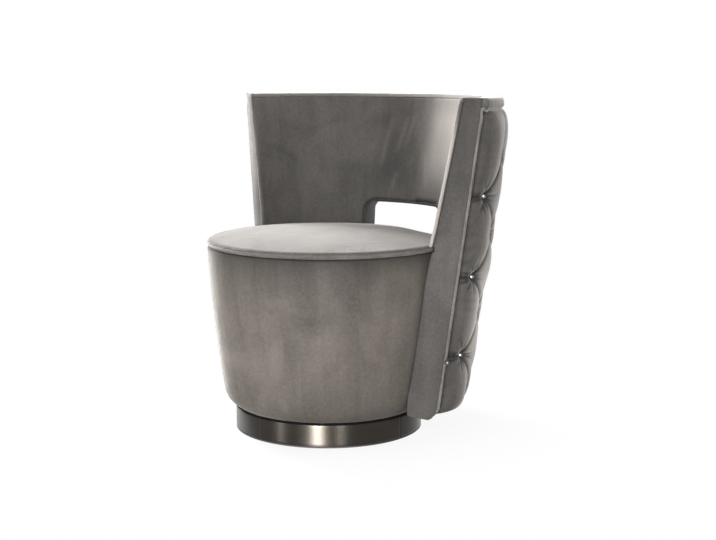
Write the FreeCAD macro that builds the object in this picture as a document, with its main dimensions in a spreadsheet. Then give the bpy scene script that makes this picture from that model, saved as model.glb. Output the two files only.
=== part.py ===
import FreeCAD, Part
import math
import os

import Sketcher

# Round swivel cocktail chair: a drum seat on a recessed steel plinth, wrapped by a
# flared back whose outside is deep buttoned.  Millimetres, +Z up.  The origin is
# the swivel axis on the floor and the sitter faces -Y, so their left is +X.

os.makedirs("parts", exist_ok=True)
doc = FreeCAD.newDocument("cocktail_chair")
Vector = FreeCAD.Vector

SIZES = [
    # overall
    ("chair_height", 760.0),
    ("seat_height", 430.0),
    ("seat_radius", 277.0),
    ("fit_gap", 0.3),
    # standing base
    ("plinth_inset", 61.0),
    ("plinth_height", 48.0),
    ("plinth_wall", 2.0),
    ("plinth_edge_round", 0.8),
    ("floor_ring_height", 3.0),
    ("floor_ring_width", 24.0),
    ("base_plate_thickness", 5.0),
    ("plinth_board_thickness", 18.0),
    ("plinth_board_recess", 5.0),
    ("spacer_radius", 150.0),
    ("spacer_width", 40.0),
    # ball bearing and centre bolt
    ("race_radius", 100.0),
    ("race_width", 44.0),
    ("race_thickness", 4.0),
    ("ball_diameter", 8.0),
    ("ball_clearance", 0.12),
    ("ball_count", 12),
    ("groove_depth", 2.0),
    ("cage_width", 18.0),
    ("cage_thickness", 1.6),
    ("king_diameter", 16.0),
    ("king_head_diameter", 34.0),
    ("king_head_height", 6.0),
    ("running_gap", 0.06),
    ("bush_wall", 4.0),
    ("washer_diameter", 44.0),
    ("washer_thickness", 3.0),
    ("nut_width", 24.0),
    ("nut_height", 13.0),
    # drum frame
    ("drum_board_thickness", 18.0),
    ("drum_board_inset", 4.0),
    ("drum_wall_thickness", 4.0),
    ("drum_wall_inset", 15.0),
    ("drum_wall_step", 1.0),
    ("seat_build_depth", 38.0),
    ("top_ring_thickness", 18.0),
    ("top_ring_width", 80.0),
    ("upright_width", 50.0),
    ("upright_depth", 25.0),
    ("upright_count", 8),
    ("strap_width", 50.0),
    ("strap_thickness", 2.0),
    ("strap_pitch", 72.0),
    ("strap_count", 4),
    ("strap_landing", 32.0),
    # drum upholstery
    ("cover_thickness", 2.0),
    ("drum_shoulder_inset", 32.5),
    ("drum_foot_inset", 30.5),
    ("drum_shoulder_height", 46.0),
    ("drum_side_round", 3200.0),
    ("drum_foot_round", 56.0),
    ("hem_width", 26.0),
    ("dust_cover_thickness", 1.0),
    ("seat_welt_radius", 4.5),
    ("seat_crown", 29.0),
    ("seat_crown_flat", 25.0),
    ("seat_shoulder_inset", 72.0),
    ("seat_shoulder_rise", 18.0),
    ("seat_shoulder_round", 240.0),
    # back shell
    ("back_inner_gap", 5.5),
    ("back_flare", 57.0),
    ("back_low_depth", 9.0),
    ("back_top_depth", 50.0),
    ("back_foot_tuck", 24.0),
    ("inner_pad_thickness", 12.0),
    ("panel_thickness", 4.0),
    ("roll_radius", 7.0),
    ("top_border_height", 27.0),
    ("top_border_swell", 10.0),
    ("top_border_flare", 1.0),
    ("top_rail_height", 34.0),
    ("bottom_rail_height", 40.0),
    ("lumbar_rail_height", 40.0),
    ("sill_rail_height", 50.0),
    ("back_post_angle", 5.0),
    ("drum_side_gap", 8.0),
    # arm fronts
    ("arm_plane_setback", 46.0),
    ("arm_toe_angle", 20.0),
    ("facing_thickness", 8.0),
    ("arm_post_depth", 32.0),
    ("arm_welt_radius", 3.5),
    ("facing_corner", 14.0),
    # opening through the back
    ("opening_half_angle", 24.6),
    ("opening_head_rise", 64.0),
    ("opening_sill_drop", 20.0),
    ("opening_round", 25.0),
    ("opening_sill_round", 6.0),
    ("lining_thickness", 5.0),
    ("lining_lip", 14.0),
    # bolts from the drum into the back frame
    ("bolt_diameter", 8.0),
    ("bolt_head_diameter", 16.0),
    ("bolt_head_height", 5.0),
    ("bolt_bite", 22.0),
    ("low_bolt_angle", 42.0),
    ("high_bolt_angle", 12.0),
    # deep buttoning
    ("tuft_column_angle", 14.4),
    ("tuft_side_columns", 5),
    ("tuft_first_row", 103.0),
    ("tuft_pitch", 178.0),
    ("tuft_crown", 38.0),
    ("tuft_pleat_height", 30.0),
    ("tuft_button_height", 23.0),
    ("tuft_edge_height", 9.0),
    ("tuft_top_height", 9.0),
    ("tuft_button_land", 24.0),
    ("button_radius", 8.0),
    ("button_girdle", 3.0),
    ("button_crown", 3.5),
    ("button_table_radius", 4.5),
    ("button_sink", 2.0),
]

# Radii and heights that follow the seat, each by a named step.
FOLLOWING = [
    ("plinth_radius", "=seat_radius - plinth_inset"),
    ("drum_shoulder_radius", "=seat_radius - drum_shoulder_inset"),
    ("drum_foot_radius", "=drum_shoulder_radius - drum_foot_inset"),
    ("back_inner_top_radius", "=seat_radius + back_flare"),
    ("back_outer_low_radius", "=seat_radius + back_low_depth"),
    ("back_outer_top_radius", "=back_inner_top_radius + back_top_depth"),
    ("back_foot_radius", "=back_outer_low_radius - back_foot_tuck"),
    ("opening_head", "=seat_height + opening_head_rise"),
    ("opening_sill", "=seat_height - opening_sill_drop"),
]

sheet = doc.addObject("Spreadsheet::Sheet", "sizes")
for row, (alias, entry) in enumerate(SIZES + FOLLOWING, start=1):
    sheet.set("A%d" % row, alias)
    sheet.set("B%d" % row, str(entry))
    sheet.setAlias("B%d" % row, alias)
doc.recompute()


class Size:
    """A number together with the sheet expression that drives it."""

    def __init__(self, text, value):
        self.text = text
        self.value = value

    @staticmethod
    def of(other):
        return other if isinstance(other, Size) else Size("(%.9g)" % other, float(other))

    def joined(self, sign, other, value):
        return Size("(%s %s %s)" % (self.text, sign, Size.of(other).text), value)

    def __add__(self, other):
        return self.joined("+", other, self.value + Size.of(other).value)

    def __radd__(self, other):
        return Size.of(other) + self

    def __sub__(self, other):
        return self.joined("-", other, self.value - Size.of(other).value)

    def __rsub__(self, other):
        return Size.of(other) - self

    def __mul__(self, other):
        return self.joined("*", other, self.value * Size.of(other).value)

    def __rmul__(self, other):
        return Size.of(other) * self

    def __truediv__(self, other):
        return self.joined("/", other, self.value / Size.of(other).value)

    def __neg__(self):
        return Size("(-%s)" % self.text, -self.value)

    def root(self):
        return Size("sqrt(%s)" % self.text, math.sqrt(self.value))

    def sine(self):
        return Size("sin(%s)" % self.text, math.sin(math.radians(self.value)))

    def cosine(self):
        return Size("cos(%s)" % self.text, math.cos(math.radians(self.value)))

    def tangent(self):
        return Size("tan(%s)" % self.text, math.tan(math.radians(self.value)))


class Sheet:
    """Sizes of the sheet, read as attributes."""

    def __getattr__(self, alias):
        return Size("sizes." + alias, float(sheet.get(alias)))


d = Sheet()
ZERO = Size("0", 0.0)
nodes = {}


def count(alias):
    return int(sheet.get(alias))


def new_body(name):
    body = doc.addObject("PartDesign::Body", name)
    body.Label = name
    return body


def new_sketch(body, plane, name, lift=None):
    """Sketch on one of the body's own origin planes, lifted along its normal."""
    sketch = body.newObject("Sketcher::SketchObject", name)
    support = [o for o in body.Origin.OriginFeatures if o.Role == plane][0]
    sketch.AttachmentSupport = [(support, "")]
    sketch.MapMode = "FlatFace"
    if lift is not None:
        sketch.setExpression("AttachmentOffset.Base.z", lift.text)
    return sketch


def pin(sketch, kind, axis, side, corner, size):
    """Holds one coordinate of a corner to a size, or on the axis when it is zero."""
    if size.text == "0":
        sketch.addConstraint(Sketcher.Constraint("PointOnObject", side, corner, axis))
        return
    index = sketch.addConstraint(Sketcher.Constraint(kind, -1, 1, side, corner, size.value))
    sketch.setExpression("Constraints[%d]" % index, size.text)


def draw(sketch, corners):
    """Closed loop through corners (x, y) or (x, y, radius, bulge).

    The third and fourth values make the side that leaves the corner an arc, which
    bulges to the left (+1) or to the right (-1) of the way along the loop.
    """
    sides = []
    for index, corner in enumerate(corners):
        following = corners[(index + 1) % len(corners)]
        start = Vector(corner[0].value, corner[1].value, 0)
        end = Vector(following[0].value, following[1].value, 0)
        if len(corner) == 2:
            sides.append((sketch.addGeometry(Part.LineSegment(start, end)), 1, 2))
            continue
        radius, bulge = corner[2].value, corner[3]
        chord = end - start
        left = Vector(-chord.y, chord.x, 0).normalize()
        depth = math.sqrt(radius ** 2 - (chord.Length / 2) ** 2)
        centre = (start + end) * 0.5 - left * (bulge * depth)
        first, last = (end, start) if bulge > 0 else (start, end)
        angles = [math.atan2(p.y - centre.y, p.x - centre.x) for p in (first, last)]
        if angles[1] < angles[0]:
            angles[1] += 2 * math.pi
        circle = Part.Circle(centre, Vector(0, 0, 1), radius)
        ends = (2, 1) if bulge > 0 else (1, 2)
        side = sketch.addGeometry(Part.ArcOfCircle(circle, angles[0], angles[1]))
        sides.append((side,) + ends)
    for index, (side, start, end) in enumerate(sides):
        after = sides[(index + 1) % len(sides)]
        sketch.addConstraint(Sketcher.Constraint("Coincident", side, end, after[0], after[1]))
    for (side, start, end), corner in zip(sides, corners):
        pin(sketch, "DistanceX", -2, side, start, corner[0])
        pin(sketch, "DistanceY", -1, side, start, corner[1])
        if len(corner) > 2:
            index = sketch.addConstraint(Sketcher.Constraint("Radius", side, corner[2].value))
            sketch.setExpression("Constraints[%d]" % index, corner[2].text)


def trim_front(body, back):
    """Cuts a shell off at the two toed-out arm planes, moved back by a distance."""
    reach = d.chair_height
    apex = back / d.arm_toe_angle.cosine() - d.arm_plane_setback
    flank = apex + reach * d.arm_toe_angle.tangent()
    sketch = new_sketch(body, "XY_Plane", body.Label + "_front_line")
    draw(sketch, [(ZERO, apex), (-reach, flank), (-reach, -reach), (reach, -reach), (reach, flank)])
    pocket = body.newObject("PartDesign::Pocket", body.Label + "_front_cut")
    pocket.Profile = sketch
    pocket.Type = "ThroughAll"
    pocket.Reversed = True
    return pocket


def revolved(name, corners, half_angle=None, turn=None, front=None):
    """Turns a radius and height outline about Z: full, or a sector about the back."""
    body = new_body(name)
    sketch = new_sketch(body, "YZ_Plane", name + "_outline")
    draw(sketch, corners)
    feature = body.newObject("PartDesign::Revolution", name + "_turned")
    feature.Profile = sketch
    feature.ReferenceAxis = (sketch, ["V_Axis"])
    feature.Angle = 360
    if half_angle is not None:
        feature.setExpression("Angle", (half_angle * 2).text)
        feature.Midplane = True
    if front is not None:
        trim_front(body, front)
    if turn is not None:
        body.setExpression("Placement.Rotation.Angle", turn.text)
    return body


def ring(name, inner, outer, low, high):
    return revolved(name, [(inner, low), (outer, low), (outer, high), (inner, high)])


def cut(name, base, tool):
    """Base less tool; the blank keeps a label of its own."""
    base.Label = name + "_blank"
    result = doc.addObject("Part::Cut", name + "_cut")
    result.Base = base
    result.Tool = tool
    result.Label = name
    return result


def group(name, members):
    result = doc.addObject("Part::Compound", name)
    result.Links = members
    result.Label = name
    return result


def keep(thing):
    nodes[thing.Label] = thing
    return thing


def rod(name, radius, length, place):
    item = doc.addObject("Part::Cylinder", name)
    item.setExpression("Radius", radius.text)
    item.setExpression("Height", length.text)
    item.Placement = place
    return item


def box(name, lengths, corner, turn):
    """Box with one corner at a point, in axes turned about Z by a number of degrees."""
    item = doc.addObject("Part::Box", name)
    for prop, size in zip(("Length", "Width", "Height"), lengths):
        item.setExpression(prop, size.text)
    c, s = math.cos(math.radians(turn)), math.sin(math.radians(turn))
    item.Placement = FreeCAD.Placement(Vector(), FreeCAD.Rotation(Vector(0, 0, 1), turn))
    item.setExpression("Placement.Base.x", (corner[0] * c - corner[1] * s).text)
    item.setExpression("Placement.Base.y", (corner[0] * s + corner[1] * c).text)
    item.setExpression("Placement.Base.z", corner[2].text)
    return item


# Heights, from the floor up.
plate_low = d.floor_ring_height
plate_high = plate_low + d.base_plate_thickness
band_high = plate_low + d.plinth_height
board_high = band_high - d.plinth_board_recess
board_low = board_high - d.plinth_board_thickness
groove_radius = d.ball_diameter / 2 + d.ball_clearance
race_high = board_high + d.race_thickness
ball_height = race_high + groove_radius - d.groove_depth
upper_low = ball_height * 2 - race_high
upper_high = upper_low + d.race_thickness
drum_low = upper_high
drum_high = drum_low + d.drum_board_thickness
hem_low = drum_low - d.cover_thickness
shoulder_height = hem_low + d.drum_shoulder_height
ring_high = d.seat_height - d.seat_build_depth
ring_low = ring_high - d.top_ring_thickness
border_low = d.chair_height - d.top_border_height
pad_low = d.seat_height + d.seat_welt_radius + d.fit_gap * 4
rail_low = hem_low + d.dust_cover_thickness + d.fit_gap
rail_high = rail_low + d.bottom_rail_height
top_rail_low = border_low - d.fit_gap - d.top_rail_height

# The standing base.
keep(ring("floor_ring", d.plinth_radius - d.floor_ring_width, d.plinth_radius, ZERO, plate_low))
plate_radius = d.plinth_radius - d.plinth_wall - d.fit_gap
king_radius = d.king_diameter / 2
head_low = board_low - d.king_head_height
keep(ring("base_plate", d.king_head_diameter, plate_radius, plate_low, plate_high))
lip = d.plinth_edge_round
keep(revolved("plinth_band", [
    (d.plinth_radius - d.plinth_wall, plate_low),
    (d.plinth_radius, plate_low),
    (d.plinth_radius, band_high - lip, lip, -1),
    (d.plinth_radius - lip, band_high),
    (d.plinth_radius - d.plinth_wall, band_high),
]))
keep(ring("plinth_spacer", d.spacer_radius - d.spacer_width, d.spacer_radius, plate_high, board_low))
keep(ring("plinth_board", king_radius + d.fit_gap, plate_radius, board_low, board_high))

# The ball bearing: two grooved races, a cage and its balls.
race_in = d.race_radius - d.race_width / 2
race_out = d.race_radius + d.race_width / 2
half_groove = (groove_radius * groove_radius - (groove_radius - d.groove_depth)
               * (groove_radius - d.groove_depth)).root()
keep(revolved("lower_race", [
    (race_in, board_high),
    (race_out, board_high),
    (race_out, race_high),
    (d.race_radius + half_groove, race_high, groove_radius, 1),
    (d.race_radius - half_groove, race_high),
    (race_in, race_high),
]))
keep(revolved("upper_race", [
    (race_in, upper_high),
    (race_in, upper_low),
    (d.race_radius - half_groove, upper_low, groove_radius, 1),
    (d.race_radius + half_groove, upper_low),
    (race_out, upper_low),
    (race_out, upper_high),
]))
cage_blank = ring("cage_blank", d.race_radius - d.cage_width / 2, d.race_radius + d.cage_width / 2,
                  ball_height - d.cage_thickness / 2, ball_height + d.cage_thickness / 2)
balls = []
pockets = []
for number in range(count("ball_count")):
    angle = 2 * math.pi * number / count("ball_count")
    centre = (d.race_radius * math.cos(angle), d.race_radius * math.sin(angle), ball_height)
    ball = doc.addObject("Part::Sphere", "ball_%02d" % number)
    ball.setExpression("Radius", (d.ball_diameter / 2).text)
    hole = doc.addObject("Part::Cylinder", "pocket_%02d" % number)
    hole.setExpression("Radius", (d.ball_diameter / 2 + d.ball_clearance).text)
    hole.setExpression("Height", (d.cage_thickness * 2).text)
    for item, drop in ((ball, ZERO), (hole, d.cage_thickness)):
        item.setExpression("Placement.Base.x", centre[0].text)
        item.setExpression("Placement.Base.y", centre[1].text)
        item.setExpression("Placement.Base.z", (centre[2] - drop).text)
    balls.append(ball)
    pockets.append(hole)
keep(group("bearing_balls", balls))
keep(cut("ball_cage", cage_blank, group("cage_pockets", pockets)))

# The centre bolt: fixed in the plinth board, turning in a bush in the drum board.
bush_in = king_radius + d.running_gap
bush_out = bush_in + d.bush_wall
washer_low = drum_high + d.fit_gap
nut_low = washer_low + d.washer_thickness
nut_high = nut_low + d.nut_height
keep(revolved("king_bolt", [
    (ZERO, head_low),
    (d.king_head_diameter / 2, head_low),
    (d.king_head_diameter / 2, board_low),
    (king_radius, board_low),
    (king_radius, nut_high + d.king_diameter / 4),
    (ZERO, nut_high + d.king_diameter / 4),
]))
keep(ring("king_bush", bush_in, bush_out, drum_low, drum_high))
keep(ring("king_washer", king_radius + d.running_gap, d.washer_diameter / 2, washer_low, nut_low))
nut = new_body("king_nut")
nut_face = new_sketch(nut, "XY_Plane", "king_nut_hexagon", nut_low)
corner_reach = d.nut_width / math.sqrt(3)
draw(nut_face, [(corner_reach, ZERO)] + [
    (corner_reach * math.cos(math.radians(a)),
     corner_reach * math.sin(math.radians(a)) if a != 180 else ZERO)
    for a in (60, 120, 180, 240, 300)])
nut_pad = nut.newObject("PartDesign::Pad", "king_nut_prism")
nut_pad.Profile = nut_face
nut_pad.setExpression("Length", d.nut_height.text)
nut_bore_face = new_sketch(nut, "XY_Plane", "king_nut_bore_circle", nut_low)
nut_bore_face.addGeometry(Part.Circle(Vector(), Vector(0, 0, 1), king_radius.value))
nut_bore_face.addConstraint(Sketcher.Constraint("Coincident", 0, 3, -1, 1))
bore_at = nut_bore_face.addConstraint(Sketcher.Constraint("Radius", 0, king_radius.value))
nut_bore_face.setExpression("Constraints[%d]" % bore_at, (king_radius + d.running_gap / 2).text)
nut_bore = nut.newObject("PartDesign::Pocket", "king_nut_bore")
nut_bore.Profile = nut_bore_face
nut_bore.Type = "ThroughAll"
nut_bore.Reversed = True
keep(nut)

# Drum frame: board, uprights, top ring and a thin conical wall.
board_radius = d.drum_foot_radius - d.drum_board_inset
keep(ring("drum_board", bush_out + d.running_gap, board_radius, drum_low, drum_high))
wall_low = board_radius - d.drum_wall_step
wall_top = d.seat_radius - d.drum_wall_inset
wall_slope = (wall_top - wall_low) / (ring_high - drum_high)


def wall_radius(height):
    """Outside radius of the drum wall."""
    return wall_low + (height - drum_high) * wall_slope


drum_wall = revolved("drum_wall", [
    (wall_low - d.drum_wall_thickness, drum_high),
    (wall_low, drum_high),
    (wall_top, ring_high),
    (wall_top - d.drum_wall_thickness, ring_high),
])
ring_gap = d.drum_wall_thickness + d.fit_gap
ring_in = wall_radius(ring_low) - ring_gap - d.top_ring_width
keep(revolved("drum_top_ring", [
    (ring_in, ring_low),
    (wall_radius(ring_low) - ring_gap, ring_low),
    (wall_radius(ring_high) - ring_gap, ring_high),
    (ring_in, ring_high),
]))
upright_corner = wall_low - ring_gap
upright_out = (upright_corner * upright_corner - d.upright_width * d.upright_width / 4).root()
uprights = []
for number in range(count("upright_count")):
    turn = 360.0 * (number + 0.5) / count("upright_count")
    uprights.append(box("upright_%d" % number,
                        (d.upright_depth, d.upright_width, ring_low - drum_high),
                        (upright_out - d.upright_depth, -d.upright_width / 2, drum_high), turn))
keep(group("drum_uprights", uprights))
strap_reach = ring_in + d.strap_landing
for name, turn, low in (("seat_straps_across", 0, ring_high),
                        ("seat_straps_along", 90, ring_high + d.strap_thickness)):
    straps = []
    for number in range(count("strap_count")):
        offset = d.strap_pitch * (number - (count("strap_count") - 1) / 2)
        side = abs(number - (count("strap_count") - 1) / 2)
        far_edge = d.strap_pitch * side + d.strap_width / 2
        half = (strap_reach * strap_reach - far_edge * far_edge).root()
        straps.append(box("%s_%d" % (name, number), (half * 2, d.strap_width, d.strap_thickness),
                          (-half, offset - d.strap_width / 2, low), turn))
    keep(group(name, straps))

# Drum upholstery: one bowed side that rounds under at the foot.
cover_in = d.cover_thickness
cover_high = d.seat_height - d.seat_welt_radius - d.fit_gap
drum_cover = revolved("drum_cover", [
    (d.seat_radius, cover_high, d.drum_side_round, 1),
    (d.drum_shoulder_radius, shoulder_height, d.drum_foot_round, 1),
    (d.drum_foot_radius, hem_low),
    (d.drum_foot_radius - d.hem_width, hem_low),
    (d.drum_foot_radius - d.hem_width, drum_low),
    (d.drum_foot_radius - cover_in, drum_low, d.drum_foot_round, -1),
    (d.drum_shoulder_radius - cover_in, shoulder_height, d.drum_side_round, -1),
    (d.seat_radius - cover_in, cover_high),
])
foam_in = cover_in + d.fit_gap
seat_rim = d.seat_radius - d.seat_welt_radius - d.fit_gap
beside_seat = seat_rim - foam_in + d.fit_gap
drum_foam = revolved("drum_foam", [
    (d.seat_radius - foam_in, cover_high, d.drum_side_round, 1),
    (d.drum_shoulder_radius - foam_in, shoulder_height, d.drum_foot_round, 1),
    (d.drum_foot_radius - foam_in, drum_low + cover_in),
    (board_radius + d.fit_gap, drum_low + cover_in),
    (board_radius + d.fit_gap, drum_high + d.fit_gap),
    (wall_top + d.fit_gap, ring_high),
    (beside_seat, ring_high),
    (beside_seat, cover_high),
])
keep(ring("drum_dust_cover", race_out + d.floor_ring_width, d.drum_foot_radius - d.hem_width - d.fit_gap,
          drum_low - d.dust_cover_thickness, drum_low))


def crowned(name, drop, side_low, skin=None):
    """Crowned seat top, lowered by a distance; a full cushion or a skin of that thickness."""
    shoulder = seat_rim - d.seat_shoulder_inset
    rim_high = d.seat_height + d.cover_thickness
    shoulder_high = rim_high + d.seat_shoulder_rise
    crown_high = d.seat_height + d.seat_crown
    rise = crown_high - shoulder_high
    level = d.seat_crown_flat
    span = shoulder - level
    crown_round = (span * span + rise * rise) / (rise * 2)
    upper = [
        (seat_rim - drop, rim_high - drop, d.seat_shoulder_round, -1),
        (shoulder - drop, shoulder_high - drop, crown_round, -1),
        (level - drop, crown_high - drop),
        (ZERO, crown_high - drop),
    ]
    if skin is None:
        return revolved(name, upper + [(ZERO, side_low), (seat_rim - drop, side_low)])
    inner = drop + skin
    return revolved(name, upper + [
        (ZERO, crown_high - inner),
        (level - inner, crown_high - inner, crown_round, 1),
        (shoulder - inner, shoulder_high - inner, d.seat_shoulder_round, 1),
        (seat_rim - inner, rim_high - inner),
    ])


keep(crowned("seat_cover", ZERO, None, d.cover_thickness))
foam_low = ring_high + d.strap_thickness * 2 + d.fit_gap
keep(crowned("seat_foam", d.cover_thickness + d.fit_gap, foam_low))
welt = doc.addObject("Part::Torus", "seat_welt")
welt.setExpression("Radius1", d.seat_radius.text)
welt.setExpression("Radius2", d.seat_welt_radius.text)
welt.setExpression("Placement.Base.z", d.seat_height.text)
welt.Label = "seat_welt"
keep(welt)

# The back shell: two cones, and the layers between them.
inner_low = d.seat_radius + d.back_inner_gap
inner_slope = (d.back_inner_top_radius - inner_low) / (d.chair_height - d.seat_height)
outer_slope = (d.back_outer_top_radius - d.back_outer_low_radius) / (d.chair_height - hem_low)


def inside(height):
    """Radius of the inside face of the back."""
    return inner_low + (height - d.seat_height) * inner_slope


def outside(height):
    """Radius of the outer panel, which carries the buttoned pad."""
    return d.back_outer_low_radius + (height - hem_low) * outer_slope


def panel_in(height):
    return inside(height) + d.inner_pad_thickness + d.fit_gap


def frame_in(height):
    return panel_in(height) + d.panel_thickness + d.fit_gap


def frame_out(height):
    return outside(height) - d.panel_thickness - d.fit_gap


HALF_TURN = Size("90", 90.0)
facing_back = d.facing_thickness + d.fit_gap
post_back = facing_back + d.arm_post_depth + d.fit_gap
roll = d.roll_radius
panel_high = border_low - d.fit_gap
inner_pad = revolved("inner_pad", [
    (inside(pad_low), pad_low),
    (inside(pad_low) + d.inner_pad_thickness, pad_low),
    (inside(d.chair_height) + d.inner_pad_thickness, d.chair_height),
    (inside(d.chair_height) + roll, d.chair_height, roll * 1.05, 1),
    (inside(d.chair_height - roll), d.chair_height - roll),
], HALF_TURN, front=ZERO)
border_out = outside(border_low) + d.top_border_swell
keep(revolved("top_border", [
    (panel_in(border_low), border_low),
    (border_out, border_low),
    (border_out + d.top_border_flare, d.chair_height - roll, roll, -1),
    (border_out + d.top_border_flare - roll, d.chair_height),
    (panel_in(d.chair_height), d.chair_height),
], HALF_TURN, front=ZERO))
inner_panel = revolved("inner_panel", [
    (panel_in(pad_low), pad_low),
    (panel_in(pad_low) + d.panel_thickness, pad_low),
    (panel_in(panel_high) + d.panel_thickness, panel_high),
    (panel_in(panel_high), panel_high),
], HALF_TURN, front=facing_back)
outer_panel = revolved("outer_panel", [
    (outside(rail_high) - d.panel_thickness, rail_high),
    (outside(rail_high), rail_high),
    (outside(panel_high), panel_high),
    (outside(panel_high) - d.panel_thickness, panel_high),
], HALF_TURN, front=facing_back)
keep(revolved("top_rail", [
    (frame_in(top_rail_low), top_rail_low),
    (frame_out(top_rail_low), top_rail_low),
    (frame_out(panel_high), panel_high),
    (frame_in(panel_high), panel_high),
], HALF_TURN, front=post_back))
bottom_rail = revolved("bottom_rail", [
    (d.drum_shoulder_radius + d.fit_gap * 3, rail_low),
    (d.back_foot_radius - d.panel_thickness, rail_low),
    (frame_out(rail_high), rail_high - d.fit_gap),
    (d.drum_shoulder_radius + d.fit_gap * 3, rail_high - d.fit_gap),
], HALF_TURN, front=post_back)
keep(revolved("shell_dust_cover", [
    (d.drum_foot_radius + d.dust_cover_thickness * 3, hem_low),
    (d.back_foot_radius, hem_low),
    (d.back_foot_radius, hem_low + d.dust_cover_thickness),
    (d.drum_foot_radius + d.dust_cover_thickness * 3, hem_low + d.dust_cover_thickness),
], HALF_TURN, front=facing_back))

# The opening through the back: radial sides, rounded corners, a padded lining.


def opening_tool(name, grow):
    """Wedge of the opening, grown on every side by a distance."""
    near = d.seat_radius - d.drum_wall_inset * 2
    far = d.back_outer_top_radius + d.tuft_crown * 2
    low = d.opening_sill - grow
    high = d.opening_head + grow
    half = d.opening_half_angle + grow / inner_low * (180 / math.pi)
    tool = revolved(name, [(near, low), (far, low), (far, high), (near, high)], half)
    doc.recompute()
    for edge_high, radius in ((high, d.opening_round + grow), (low, d.opening_sill_round + grow)):
        last = tool.Tip
        names = []
        for index, edge in enumerate(last.Shape.Edges, start=1):
            heights = [v.Point.z for v in edge.Vertexes]
            straight = isinstance(edge.Curve, Part.Line)
            if straight and max(abs(z - edge_high.value) for z in heights) < 1e-6:
                names.append("Edge%d" % index)
        fillet = tool.newObject("PartDesign::Fillet", name + "_corners")
        fillet.Base = (last, names)
        fillet.setExpression("Radius", radius.text)
        doc.recompute()
    return tool


clear_opening = opening_tool("clear_opening", ZERO)
lining_outline = opening_tool("lining_outline", d.lining_thickness)
rough_opening = opening_tool("rough_opening", d.lining_thickness + d.fit_gap)
rough_high = d.opening_head + d.lining_thickness + d.fit_gap
rough_low = d.opening_sill - d.lining_thickness - d.fit_gap
rough_half = d.opening_half_angle + (d.lining_thickness + d.fit_gap) / inner_low * (180 / math.pi)
lining_span = revolved("lining_span", [
    (inner_low + d.fit_gap, rough_low),
    (outside(rough_low) + d.lining_lip, rough_low),
    (outside(rough_high) + d.lining_lip, rough_high),
    (inside(rough_high) + d.fit_gap, rough_high),
    (inner_low + d.fit_gap, d.seat_height),
], HALF_TURN)
lining_wall = cut("lining_wall", lining_outline, clear_opening)
opening_lining = doc.addObject("Part::Common", "opening_lining")
opening_lining.Base = lining_wall
opening_lining.Tool = lining_span
opening_lining.Label = "opening_lining"
keep(opening_lining)
keep(cut("inner_pad", inner_pad, rough_opening))
keep(cut("inner_panel", inner_panel, rough_opening))
keep(cut("outer_panel", outer_panel, rough_opening))

post_start = rough_half + d.fit_gap
lumbar_high = rough_high + d.lumbar_rail_height
keep(revolved("lumbar_rail", [
    (frame_in(rough_high), rough_high),
    (frame_out(rough_high), rough_high),
    (frame_out(lumbar_high), lumbar_high),
    (frame_in(lumbar_high), lumbar_high),
], rough_half + d.fit_gap / 2))
sill_low = rough_low - d.sill_rail_height
sill_rail = revolved("sill_rail", [
    (d.seat_radius + d.fit_gap * 3, sill_low),
    (frame_out(sill_low), sill_low),
    (frame_out(rough_low), rough_low),
    (d.seat_radius + d.fit_gap * 3, rough_low),
], rough_half + d.fit_gap / 2)
post_outline = [
    (d.drum_shoulder_radius + d.drum_side_gap, rail_high),
    (d.seat_radius + d.drum_side_gap, d.seat_height),
    (frame_in(pad_low), pad_low),
    (frame_in(top_rail_low), top_rail_low),
    (frame_out(top_rail_low), top_rail_low),
    (frame_out(rail_high), rail_high),
]
for name, side in (("back_post_left", -1), ("back_post_right", 1)):
    lean = (post_start + d.back_post_angle / 2) * side
    keep(revolved(name, post_outline, d.back_post_angle / 2, turn=lean))

# Bolts that hold the back on the drum.
bolts = []
holes = []
low_bolt = drum_high + (rail_high - drum_high) / 2
high_bolt = ring_low - d.bolt_head_diameter / 2
low_turn = d.low_bolt_angle.value
high_turn = d.high_bolt_angle.value
bolt_places = [(angle, low_bolt, d.drum_shoulder_radius) for angle in (-low_turn, 0, low_turn)]
bolt_places += [(angle, high_bolt, d.seat_radius) for angle in (-high_turn, high_turn)]
for number, (angle, height, land) in enumerate(bolt_places):
    start = wall_radius(height) - d.drum_wall_thickness - d.bolt_head_diameter / 4
    outward = Vector(math.sin(math.radians(angle)), math.cos(math.radians(angle)), 0)
    place = FreeCAD.Placement(outward * start.value + Vector(0, 0, height.value),
                              FreeCAD.Rotation(Vector(0, 0, 1), outward))
    head = FreeCAD.Placement(place.Base - outward * d.bolt_head_height.value, place.Rotation)
    length = land + d.bolt_bite - start
    shank = rod("bolt_shank_%d" % number, d.bolt_diameter / 2, length, place)
    cap = rod("bolt_head_%d" % number, d.bolt_head_diameter / 2, d.bolt_head_height, head)
    bolt = doc.addObject("Part::Fuse", "bolt_%d" % number)
    bolt.Base = shank
    bolt.Tool = cap
    bolts.append(bolt)
    holes.append(rod("bolt_hole_%d" % number, d.bolt_diameter / 2 + d.fit_gap / 2,
                     length + d.fit_gap, place))
keep(group("back_bolts", bolts))
bolt_holes = group("bolt_holes", holes)
keep(cut("drum_wall", drum_wall, bolt_holes))
keep(cut("drum_foam", drum_foam, bolt_holes))
keep(cut("drum_cover", drum_cover, bolt_holes))
keep(cut("bottom_rail", bottom_rail, bolt_holes))
keep(cut("sill_rail", sill_rail, bolt_holes))

# Arm fronts: each body's XZ plane is the toed-out front plane of that arm.
plane_shift = d.arm_plane_setback * d.arm_toe_angle.sine()
plane_depth = d.arm_plane_setback * d.arm_toe_angle.cosine()


def along(radius, depth):
    """Distance along an arm plane to a radius from the swivel axis, behind the plane."""
    offset = depth - plane_depth
    return plane_shift + (radius * radius - offset * offset).root()


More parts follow.
